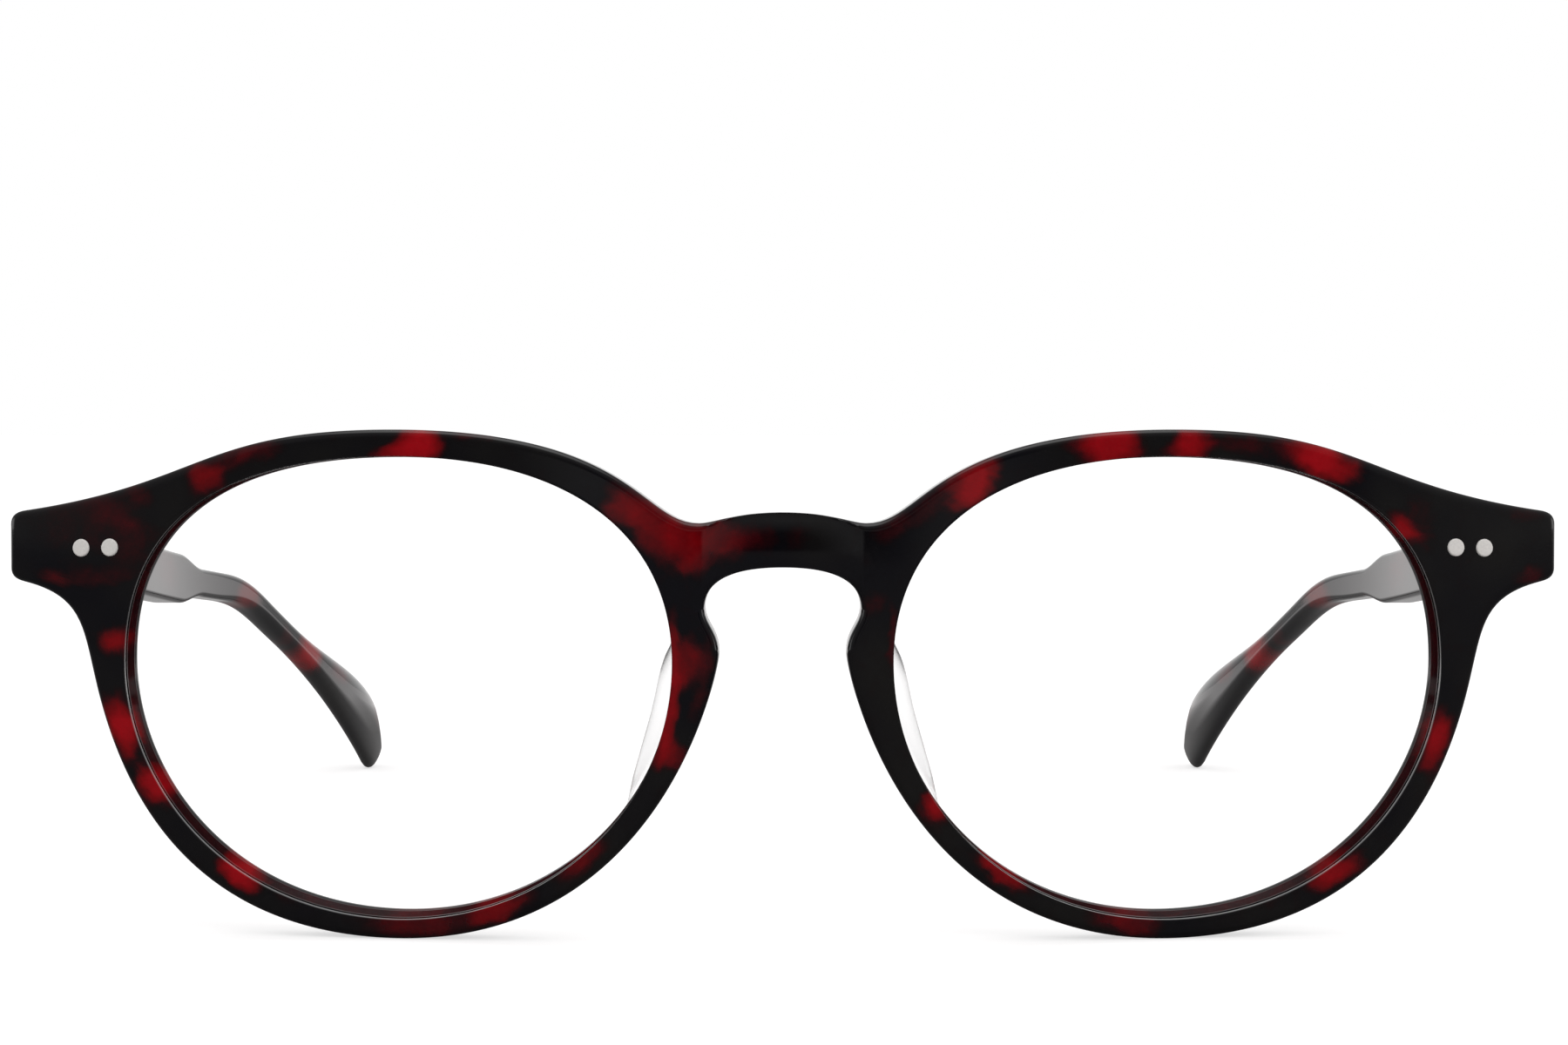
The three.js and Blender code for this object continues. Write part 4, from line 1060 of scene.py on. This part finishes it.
def lens_mesh(plan, sizes):
    """The left lens, and the faces of its pointed edge"""
    f, centre = plan.f, plan.lens_centre
    loop = plan.lens_loop(LENS_SPACING)
    way = normals(loop, True)
    middle, half = f.thickness / 2, sizes.thickness / 2
    edge = loop - way * sizes.clearance
    point = loop + way * (sizes.bevel - sizes.clearance)
    rings = [(edge, share, -1) for share in LENS_RINGS]
    rings += [(edge, 1, -LENS_LIP), (edge, 1, -LENS_SHOULDER), (point, 1, 0)]
    rings += [(edge, 1, LENS_SHOULDER), (edge, 1, LENS_LIP)]
    rings += [(edge, share, 1) for share in LENS_RINGS[::-1]]
    count, points = len(loop), []
    for ring, share, height in rings:
        depth = middle + half * height
        flat = centre + (ring - leaned(f, way, depth) - centre) * share
        points.append(plan.bend(flat[:, 0], flat[:, 1], np.full(count, depth)))
    hubs = [plan.bend(*centre[:, None], np.array([middle + side * half])) for side in (-1, 1)]
    faces = grid_faces(len(rings), count, False, True).tolist()
    hub, last = len(rings) * count, (len(rings) - 1) * count
    for k in range(count):
        after = (k + 1) % count
        faces += [[hub, after, k], [hub + 1, last + k, last + after]]
    mesh = tidied(mesh_from("lens", np.concatenate((*points, *hubs)), faces))
    mesh.transform(plan.stand)
    first = len(LENS_RINGS) * count
    return shaded(mesh, degrees=25), range(first, first + LENS_STRIPS * count)


class EYE_OT_lenses(bpy.types.Operator):
    """Builds the two clear lenses, whose pointed edge shows the acetate of the groove round it"""

    bl_idname = "eye.lenses"
    bl_label = "Lenses"

    def execute(self, context):
        plan = FrontPlan(context.scene)
        mesh, bevel = lens_mesh(plan, context.scene.eye_lens)
        for thing in pair(mesh, "clear_lens_{}", "front", "clear_lens", "coated_lens", "lens_{}"):
            made = front_mottled(thing.data, plan, EDGE_RED)
            made.materials.append(look("tortoise_behind_lens"))
            for face in bevel:
                made.polygons[face].material_index = 1
        return {"FINISHED"}


def nose_side(plan):
    """Heights and distances of the rim's nose side below the waist"""
    outline, _ = plan.rim_outline(OUTLINE_SPACING)
    below = (outline[:, 0] < plan.lens_centre[0]) & (outline[:, 1] <= plan.waist[1])
    return outline[below, 1], outline[below, 0]


# Rings along a pad, and how often its faces are halved
PAD_STEPS, PAD_SMOOTHING = 48, 2
# Roundness of a pad's upper and lower end
PAD_TOP, PAD_FOOT = 3.5, 3
# Share of the pad where its taper starts, and the section's bow as shares of its lean and foot
TAPER_START, PAD_BOW, PAD_WAIST = 0.2, 0.35, 0.85
# Shares of the reach at which the section bows and at which its rear edge starts
BOW_REACH, EDGE_REACH = 0.45, 0.92
# The painted shade line along the rear edge: its point of the section, its least strength, and the
# shares of the pad where it starts to fade and over which it fades
LINE_POINT, LINE_LEAST, LINE_START, LINE_FADE = 4, 0.25, 0.12, 0.22


def pad_mesh(plan, sizes):
    """The left nose pad"""
    heights, sides = nose_side(plan)
    foot = plan.f.thickness + sizes.seat
    shares = np.linspace(0, 1, PAD_STEPS + 1)
    rounding = np.where(shares > 0.5, PAD_FOOT, PAD_TOP)
    swell = np.sqrt(1 - np.abs(2 * shares - 1) ** rounding)
    above = sizes.rise - sizes.length * shares
    height = plan.waist[1] + above
    base = np.interp(height, heights, sides) + sizes.inset + sizes.lean * np.maximum(above, 0)
    reach = sizes.edge / 2 + (sizes.reach - sizes.edge / 2) * swell
    splay = sizes.splay * swell * (1 - sizes.taper * (shares - TAPER_START))
    middle = splay * PAD_BOW
    section = (
        (0, 0.0),
        (middle, BOW_REACH),
        (splay, EDGE_REACH),
        (splay + sizes.edge / 2, 1.0),
        (splay + sizes.edge, EDGE_REACH),
        (middle + sizes.foot * PAD_WAIST, BOW_REACH),
        (sizes.foot, 0.0),
    )
    rings = np.stack([plan.bend(base + out, height, foot + reach * back) for out, back in section], 1)
    faces = tube_faces(len(shares), len(section))
    mesh = tidied(mesh_from("nose_pad", rings.reshape(-1, 3), faces))
    # Painted shade: a dark line stored along the pad's rear edge, strongest near its top
    line = np.zeros(rings.shape[:2], np.float32)
    fading = 1 - smooth((shares - LINE_START) / LINE_FADE)
    line[:, LINE_POINT] = (LINE_LEAST + (1 - LINE_LEAST) * fading) ** (1 / LINE_POWER)
    mesh.attributes.new("edge_line", "FLOAT", "POINT").data.foreach_set("value", line.ravel())
    mesh.transform(plan.stand)
    return mesh


class EYE_OT_pads(bpy.types.Operator):
    """Builds the two clear nose pads behind the nasal rims"""

    bl_idname = "eye.pads"
    bl_label = "Nose pads"

    def execute(self, context):
        mesh = pad_mesh(FrontPlan(context.scene), context.scene.eye_pad)
        mesh.shade_smooth()
        texts = ("clear_pad_{}", "front", "clear_acetate", "clear_pad", "nose_pad_{}")
        for thing in pair(mesh, *texts):
            soft = thing.modifiers.new("Soft edges", "SUBSURF")
            soft.levels = soft.render_levels = PAD_SMOOTHING
        return {"FINISHED"}


# Temples

# Steps along a temple's middle line, rings along its body and round its end, and what is left of
# the last step there
LINE_STEPS, BODY_RINGS, TIP_RINGS, TIP_CLOSING = 1200, 190, 18, 0.6
# Steps round each edge of the section and across each of its faces
CORNER_STEPS, FACE_STEPS = 6, 5
# Power of the inward bow, share of the round tip before its full height, and the most of a
# section that one edge may take
BOW_POWER, TIP_FULL, MOST_ROUND = 1.6, 0.9, 0.47
# The hole for the core wire, and the room over the screw's head
MOUTH_RADIUS, MOUTH_SIDES, HEAD_ROOM = 0.00075, 24, 0.0001


def blended(stations, values, along):
    """Blends smoothly from value to value at stations along the temple"""
    out = np.full(len(along), float(values[-1]))
    for k in range(len(stations) - 1, 0, -1):
        low, high = stations[k - 1], stations[k]
        inside = along <= high
        part = smooth((along[inside] - low) / (high - low))
        out[inside] = values[k - 1] + (values[k] - values[k - 1]) * part
    return out


class TempleLine:
    """The left temple's middle line and section sizes in its hinge's frame"""

    def __init__(self, t, h):
        self.t, self.h = t, h
        stride = t.length / LINE_STEPS
        self.at = np.arange(LINE_STEPS + 1) * stride
        past = self.at - t.shaft_length
        tail = t.length - t.shaft_length - t.bend_length
        self.down = t.bend_angle * smooth(past / t.bend_length)
        self.down += t.curl_angle * np.clip((past - t.bend_length) / tail, 0, 1)
        back, fall = [
            np.concatenate(([0], np.cumsum(stride * part(self.down))[:-1]))
            for part in (np.cos, np.sin)
        ]
        self.y, self.z = -h.pin_setback + h.butt + back, -fall

    def height(self, along):
        """Height of the section at distances along"""
        t = self.t
        neck = t.head_length + t.step_length
        tip = t.length - t.tip_round * TIP_FULL
        stations = (0, t.head_length, neck, t.length - t.paddle_length, tip)
        values = (t.head_height, t.head_height, t.neck_height, t.neck_height, t.tip_height)
        past = np.maximum(0, along - t.length + t.tip_round) / t.tip_round
        return blended(stations, values, along) * np.sqrt(np.maximum(0, 1 - past**2))

    def thickness(self, along):
        """Thickness of the section at distances along"""
        t = self.t
        stations = (0, t.bow_start, t.shaft_length, t.length)
        values = (t.thickness, t.thickness, t.neck_thickness, t.tip_thickness)
        return blended(stations, values, along)

    def place(self, along, across, up):
        """Points at distances along, across from the middle line and up from it"""
        t = self.t
        down = np.interp(along, self.at, self.down)
        bow = t.bow * smooth((along - t.bow_start) / (t.length - t.bow_start)) ** BOW_POWER
        x = self.h.pin_inset - bow + self.thickness(along) / 2 + across
        y = np.interp(along, self.at, self.y) + up * np.sin(down)
        return np.stack((x, y, np.interp(along, self.at, self.z) + up * np.cos(down)), -1)

    def rings(self):
        """Points of the temple's rings, one ring after another"""
        t = self.t
        body = t.length - t.tip_round
        turned = math.pi / 2 * np.arange(1, TIP_RINGS + 1) / (TIP_RINGS + TIP_CLOSING)
        tip = body + t.tip_round * np.sin(turned)
        along = np.concatenate((np.linspace(0, body, BODY_RINGS), tip))
        height, thick = self.height(along), self.thickness(along)
        turned = smooth((along - t.tail_start) / t.tail_length)
        soft = t.edge_round + (t.tail_round - t.edge_round) * turned
        reach = t.edge_round + (t.tail_reach * height - t.edge_round) * turned
        soft, reach = np.minimum(soft, thick * MOST_ROUND), np.minimum(reach, height * MOST_ROUND)
        corners = []
        for quarter, (side, rise) in enumerate(((1, 1), (-1, 1), (-1, -1), (1, -1))):
            for k in range(CORNER_STEPS + 1):
                a = (quarter + k / CORNER_STEPS) * math.pi / 2
                across = side * (thick / 2 - soft) + soft * math.cos(a)
                corners.append((across, rise * (height / 2 - reach) + reach * math.sin(a)))
        section = []
        for k, corner in enumerate(corners):
            section.append(corner)
            if (k + 1) % (CORNER_STEPS + 1) == 0:
                after = corners[(k + 1) % len(corners)]
                for share in np.linspace(0, 1, FACE_STEPS + 1)[1:-1]:
                    pairs = zip(corner, after)
                    section.append([here + (there - here) * share for here, there in pairs])
        return np.stack([self.place(along, across, up) for across, up in section], 1)


def temple_rivet_matrix(plan, along):
    """Where a temple rivet starts on its leaf, in the hinge's frame"""
    inner = plan.h.pin_inset - plan.h.leaf_lip
    return Matrix.Translation((inner, along, 0)) @ Matrix.Rotation(math.pi / 2, 4, "Y")


def temple_cutters(plan):
    """What is taken out of a temple: barrel notch, leaf pocket, wire channel and rivet seats"""
    h, t = plan.h, plan.t
    half = h.knuckles * h.pitch / 2 + h.leaf_fit
    room = h.radius + h.notch
    low = (-SPARE, -h.pin_setback - SPARE, -half)
    notch = block(low, (room, room, half + h.screw_rise + HEAD_ROOM))
    inner = h.pin_inset - h.leaf_lip
    low = (inner - SPARE, room - h.leaf_fit, -half)
    pocket = block(low, (inner + h.leaf + h.leaf_fit, room + h.temple_leaf + h.leaf_fit, half))
    mouth = bar(MOUTH_RADIUS, -SPARE, SPARE * 3, MOUTH_SIDES)
    middle = Matrix.Translation((h.pin_inset + t.thickness / 2, 0, 0))
    still = Matrix.Identity(4)
    cuts = [(notch, still), (pocket, still), (mouth, middle @ Matrix.Rotation(-math.pi / 2, 4, "X"))]
    for along in rivet_distances(h.temple_rivet, h):
        cuts.append((rivet_seat(h, t.thickness + h.leaf_lip), temple_rivet_matrix(plan, along)))
    return [(matrixed(matrixed(points, m), plan.hinge), faces) for (points, faces), m in cuts]


class EYE_OT_temples(bpy.types.Operator):
    """Builds the two acetate temples with their ear bend and flared tips"""

    bl_idname = "eye.temples"
    bl_label = "Temples"

    def execute(self, context):
        plan = FrontPlan(context.scene)
        line = TempleLine(plan.t, plan.h)
        rings = line.rings()
        points = matrixed(rings.reshape(-1, 3), plan.hinge)
        mesh = mesh_from("temple", points, tube_faces(*rings.shape[:2]))
        mesh = cut_away(boxed(tidied(mesh, weld=1e-8)), temple_cutters(plan))
        own = matrixed(positions(mesh), plan.hinge.inverted())
        rise = own[:, 2] - np.interp(own[:, 1], line.y, line.z)
        along = np.interp(own[:, 1], line.y, line.at)
        mottled(shaded(mesh, degrees=30), TEMPLE_FLAKES, np.stack((along, rise, own[:, 0]), 1))
        texts = ("acetate_temple_{}", "temple_{}", "tortoise_acetate", "polished_tortoise")
        pair(mesh, *texts, "temple_{}")
        return {"FINISHED"}


# Rivets, screws and hinge leaves

# How far a rivet reaches behind its leaf, the shares of the head's radius that its shank and its
# last ring have, and the steps round the head's edge
RIVET_ROOT, RIVET_SHANK, RIVET_MIDDLE, RIVET_STEPS = 0.0003, 0.5, 0.05, 6


def rivet_body(h, length):
    """A rivet with a softly rounded flat head"""
    proud, radius, shank = h.rivet_proud, h.rivet, h.rivet * RIVET_SHANK
    top, seat = length + proud, length - h.rivet_deep
    profile = [(shank, -RIVET_ROOT), (shank, seat), (radius, seat)]
    for a in np.linspace(0, math.pi / 2, RIVET_STEPS + 1):
        profile.append((radius - proud * (1 - math.cos(a)), top - proud * (1 - math.sin(a))))
    return lathe([*profile, (shank, top), (radius * RIVET_MIDDLE, top)])


class EYE_OT_rivets(bpy.types.Operator):
    """Builds the eight rivets with their round heads"""

    bl_idname = "eye.rivets"
    bl_label = "Rivets"

    def execute(self, context):
        plan = FrontPlan(context.scene)
        h = plan.h
        for order, along in enumerate(rivet_distances(h.front_rivet, h), 1):
            self.both("front", "front", order, *front_rivet_matrix(plan, along), h)
        for order, along in enumerate(rivet_distances(h.temple_rivet, h), 1):
            place = plan.hinge @ temple_rivet_matrix(plan, along)
            self.both("temple", "temple_{}", order, place, plan.t.thickness + h.leaf_lip, h)
        return {"FINISHED"}

    def both(self, where, body, order, place, length, h):
        """Adds the rivet and its mirror image to the bodies of their sides"""
        points, faces = rivet_body(h, length)
        mesh = shaded(tidied(mesh_from("rivet", matrixed(points, place), faces)), degrees=40)
        texts = (body, "polished_metal", "satin_nickel", f"{where}_rivet_{{}}_{order}")
        pair(mesh, f"{where}_rivet_head_{{}}_{order}", *texts)


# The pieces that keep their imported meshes, and their materials
PACKED_METAL = {
    "front_hinge": "satin_steel",
    "temple_hinge": "satin_steel",
    "temple_core": "satin_steel",
    "hinge_screw": "satin_nickel",
}


class EYE_OT_hinges(bpy.types.Operator):
    """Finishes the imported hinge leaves, screws and core wires with satin metal"""

    bl_idname = "eye.hinges"
    bl_label = "Hinges"

    def execute(self, context):
        for side in ("left", "right"):
            for name, finish in PACKED_METAL.items():
                slots = frame["nodes"][f"{name}_{side}"].data.materials
                slots.clear()
                slots.append(look(finish))
        return {"FINISHED"}


# Stage

# Brightness that polish mirrors, by degrees away from straight before the camera
MIRRORED = (
    (5, 0.0), (10, 0.24), (15, 0.05), (30, 0.07), (40, 0.16), (90, 0.28),
    (130, 0.36), (150, 0.45), (166, 0.85), (180, 1.0),
)
# How far up and to the sides, as parts of a unit way, the mirrored glows start and are full
GLOW_ABOVE, GLOW_BESIDE = (0.86, 0.99), (0.9, 0.985)
WHITE = (1, 1, 1, 1)
# Where the soft lamp stands, and what it is aimed at
SOFTBOX_PLACE, SOFTBOX_TARGET = Vector((0.5, -0.75, 0.5)), Vector((0, -0.06, 0.03))
# The table: half its width, its front and rear edge, and how far it lies under the eyeglasses
TABLE_HALF, TABLE_FRONT, TABLE_REAR, TABLE_DROP = 2, -0.9, 3, 0.00002
# Features of the table's grain in a metre, how dark they get, and the table's roughness
TABLE_GRAIN, GRAIN_LEAST, TABLE_ROUGHNESS = 90.0, 0.99, 0.9
# The camera's sensor in millimetres, and the nearest and farthest metre that it shows
SENSOR_WIDTH, CLIP_START, CLIP_END = 36, 0.01, 20


def studio_world(stage):
    """White where it is seen, even light all round, and dark before the camera for the polish"""
    n = Nodes("studio", world=True)
    way = n.axes("Generated")
    away = n.math("ARCCOSINE", n.math("MULTIPLY", way["Y"], -1.0))
    levels = [(degrees / 180, (level,) * 3) for degrees, level in MIRRORED]
    mirror = n.ramp(n.math("DIVIDE", away, math.pi), levels)
    beside = n.math("ABSOLUTE", way["X"])
    mirror = n.math("ADD", mirror, n.spread(way["Z"], *GLOW_ABOVE, 0.0, stage.top_glow))
    mirror = n.math("ADD", mirror, n.spread(beside, *GLOW_BESIDE, 0.0, stage.side_glow))
    ray, seen = n.rays()
    unseen = n.blend(ray["Is Glossy Ray"], stage.fill, mirror)
    n.fill(n.shader, Color=WHITE, Strength=n.blend(seen, unseen, 1.0))
    bpy.context.scene.world = n.material


def table(stage):
    """The pale table, white away from the eyeglasses' soft shadow, with a painted reflection: where
    polish mirrors it, its colour is darker before the eyeglasses and brighter behind them
    """
    n = Nodes("pale_table")
    grain = n.noise(TABLE_GRAIN, detail=2.0)
    shades = [tuple(share * c for c in stage.floor) for share in (GRAIN_LEAST, 1)]
    tint = n.ramp(grain, list(zip(MIDDLE_RANGE, shades)))
    ray, seen = n.rays()
    # Painted reflection: only for mirrored rays, the table's colour is darkened before the eyeglasses
    # and brightened behind them
    back, near = n.axes("Object")["Y"], stage.mirrored_near
    behind = n.spread(back, stage.mirrored_start, stage.mirrored_fade, near, stage.mirrored_far)
    before = n.spread(back, cad_box[0].y, 0.0, stage.mirrored_front - near, 0.0)
    shown = n.blend(ray["Is Glossy Ray"], 1.0, n.math("ADD", behind, before))
    scaled = n.add("ShaderNodeVectorMath", {"operation": "SCALE"}, Scale=shown)
    n.put(scaled.inputs[0], tint)
    lit = n.math("MULTIPLY", seen, stage.lift)
    n.fill(n.shader, Base_Color=scaled.outputs["Vector"], Specular_IOR_Level=0.0)
    n.fill(n.shader, Roughness=TABLE_ROUGHNESS)
    n.fill(n.shader, Emission_Color=WHITE, Emission_Strength=lit)
    low, high = (-TABLE_HALF, TABLE_FRONT), (TABLE_HALF, TABLE_REAR)
    corners = [(*low, 0), (high[0], low[1], 0), (*high, 0), (low[0], high[1], 0)]
    floor = placed("pale_table", mesh_from("pale_table", corners, [(0, 1, 2, 3)]))
    floor.data.materials.append(n.material)
    floor.location.z = -TABLE_DROP


def softbox(stage):
    """The soft lamp before the front, which polish doesn't mirror"""
    data = bpy.data.lights.new("front_softbox", "AREA")
    data.shape, data.size, data.energy = "SQUARE", stage.softbox_size, stage.softbox_power
    lamp = placed("front_softbox", data)
    lamp.location = SOFTBOX_PLACE
    lamp.rotation_euler = (SOFTBOX_TARGET - SOFTBOX_PLACE).to_track_quat("-Z", "Y").to_euler()
    lamp.visible_glossy = False


def camera(stage):
    """The camera of the main view"""
    data = bpy.data.cameras.new("camera")
    data.sensor_fit, data.sensor_width = "HORIZONTAL", SENSOR_WIDTH
    data.lens, data.shift_x = stage.focal, stage.shift
    data.clip_start, data.clip_end = CLIP_START, CLIP_END
    eye = placed("camera", data)
    eye.location = (0, cad_box[0].y - stage.distance, stage.height)
    eye.rotation_euler = (math.pi / 2 - stage.pitch, 0, 0)
    bpy.context.scene.camera = eye


class EYE_OT_stage(bpy.types.Operator):
    """Builds the pale table, the soft studio light and the camera"""

    bl_idname = "eye.stage"
    bl_label = "Table, light and camera"

    def execute(self, context):
        for make in (table, studio_world, softbox, camera):
            make(context.scene.eye_stage)
        context.scene.view_settings.view_transform = "Standard"
        return {"FINISHED"}


# Panel and registration


class EYE_PT_panel(bpy.types.Panel):
    """Lists the builders and the sizes that they use"""

    bl_idname = "EYE_PT_panel"
    bl_label = "Oval eyeglasses"
    bl_space_type = "VIEW_3D"
    bl_region_type = "UI"
    bl_category = "Eyeglasses"

    def draw(self, context):
        layout = self.layout
        for builder in BUILDERS:
            layout.operator(builder.bl_idname, text=builder.bl_label)
        for group, _ in GROUPS:
            box = layout.box()
            box.label(text=group.replace("eye_", "").capitalize())
            values = getattr(context.scene, group)
            for key in values.__annotations__:
                box.prop(values, key)


GROUPS = (
    ("eye_front", EyeFrontSizes),
    ("eye_lens", EyeLensSizes),
    ("eye_pad", EyePadSizes),
    ("eye_temple", EyeTempleSizes),
    ("eye_hinge", EyeHingeSizes),
    ("eye_finish", EyeFinishes),
    ("eye_stage", EyeStageSizes),
)
BUILDERS = (
    EYE_OT_stage,
    EYE_OT_front,
    EYE_OT_lenses,
    EYE_OT_pads,
    EYE_OT_temples,
    EYE_OT_rivets,
    EYE_OT_hinges,
)


def register():
    for kind in (*[group for _, group in GROUPS], *BUILDERS, EYE_PT_panel):
        bpy.utils.register_class(kind)
    for name, group in GROUPS:
        setattr(bpy.types.Scene, name, PointerProperty(type=group))


def unregister():
    for name, _ in GROUPS:
        delattr(bpy.types.Scene, name)
    for kind in (EYE_PT_panel, *BUILDERS[::-1], *[group for _, group in GROUPS[::-1]]):
        bpy.utils.unregister_class(kind)


def main():
    register()
    eye = bpy.ops.eye
    for step in (eye.stage, eye.front, eye.lenses, eye.pads, eye.temples, eye.rivets, eye.hinges):
        step()


if __name__ == "__main__":
    main()
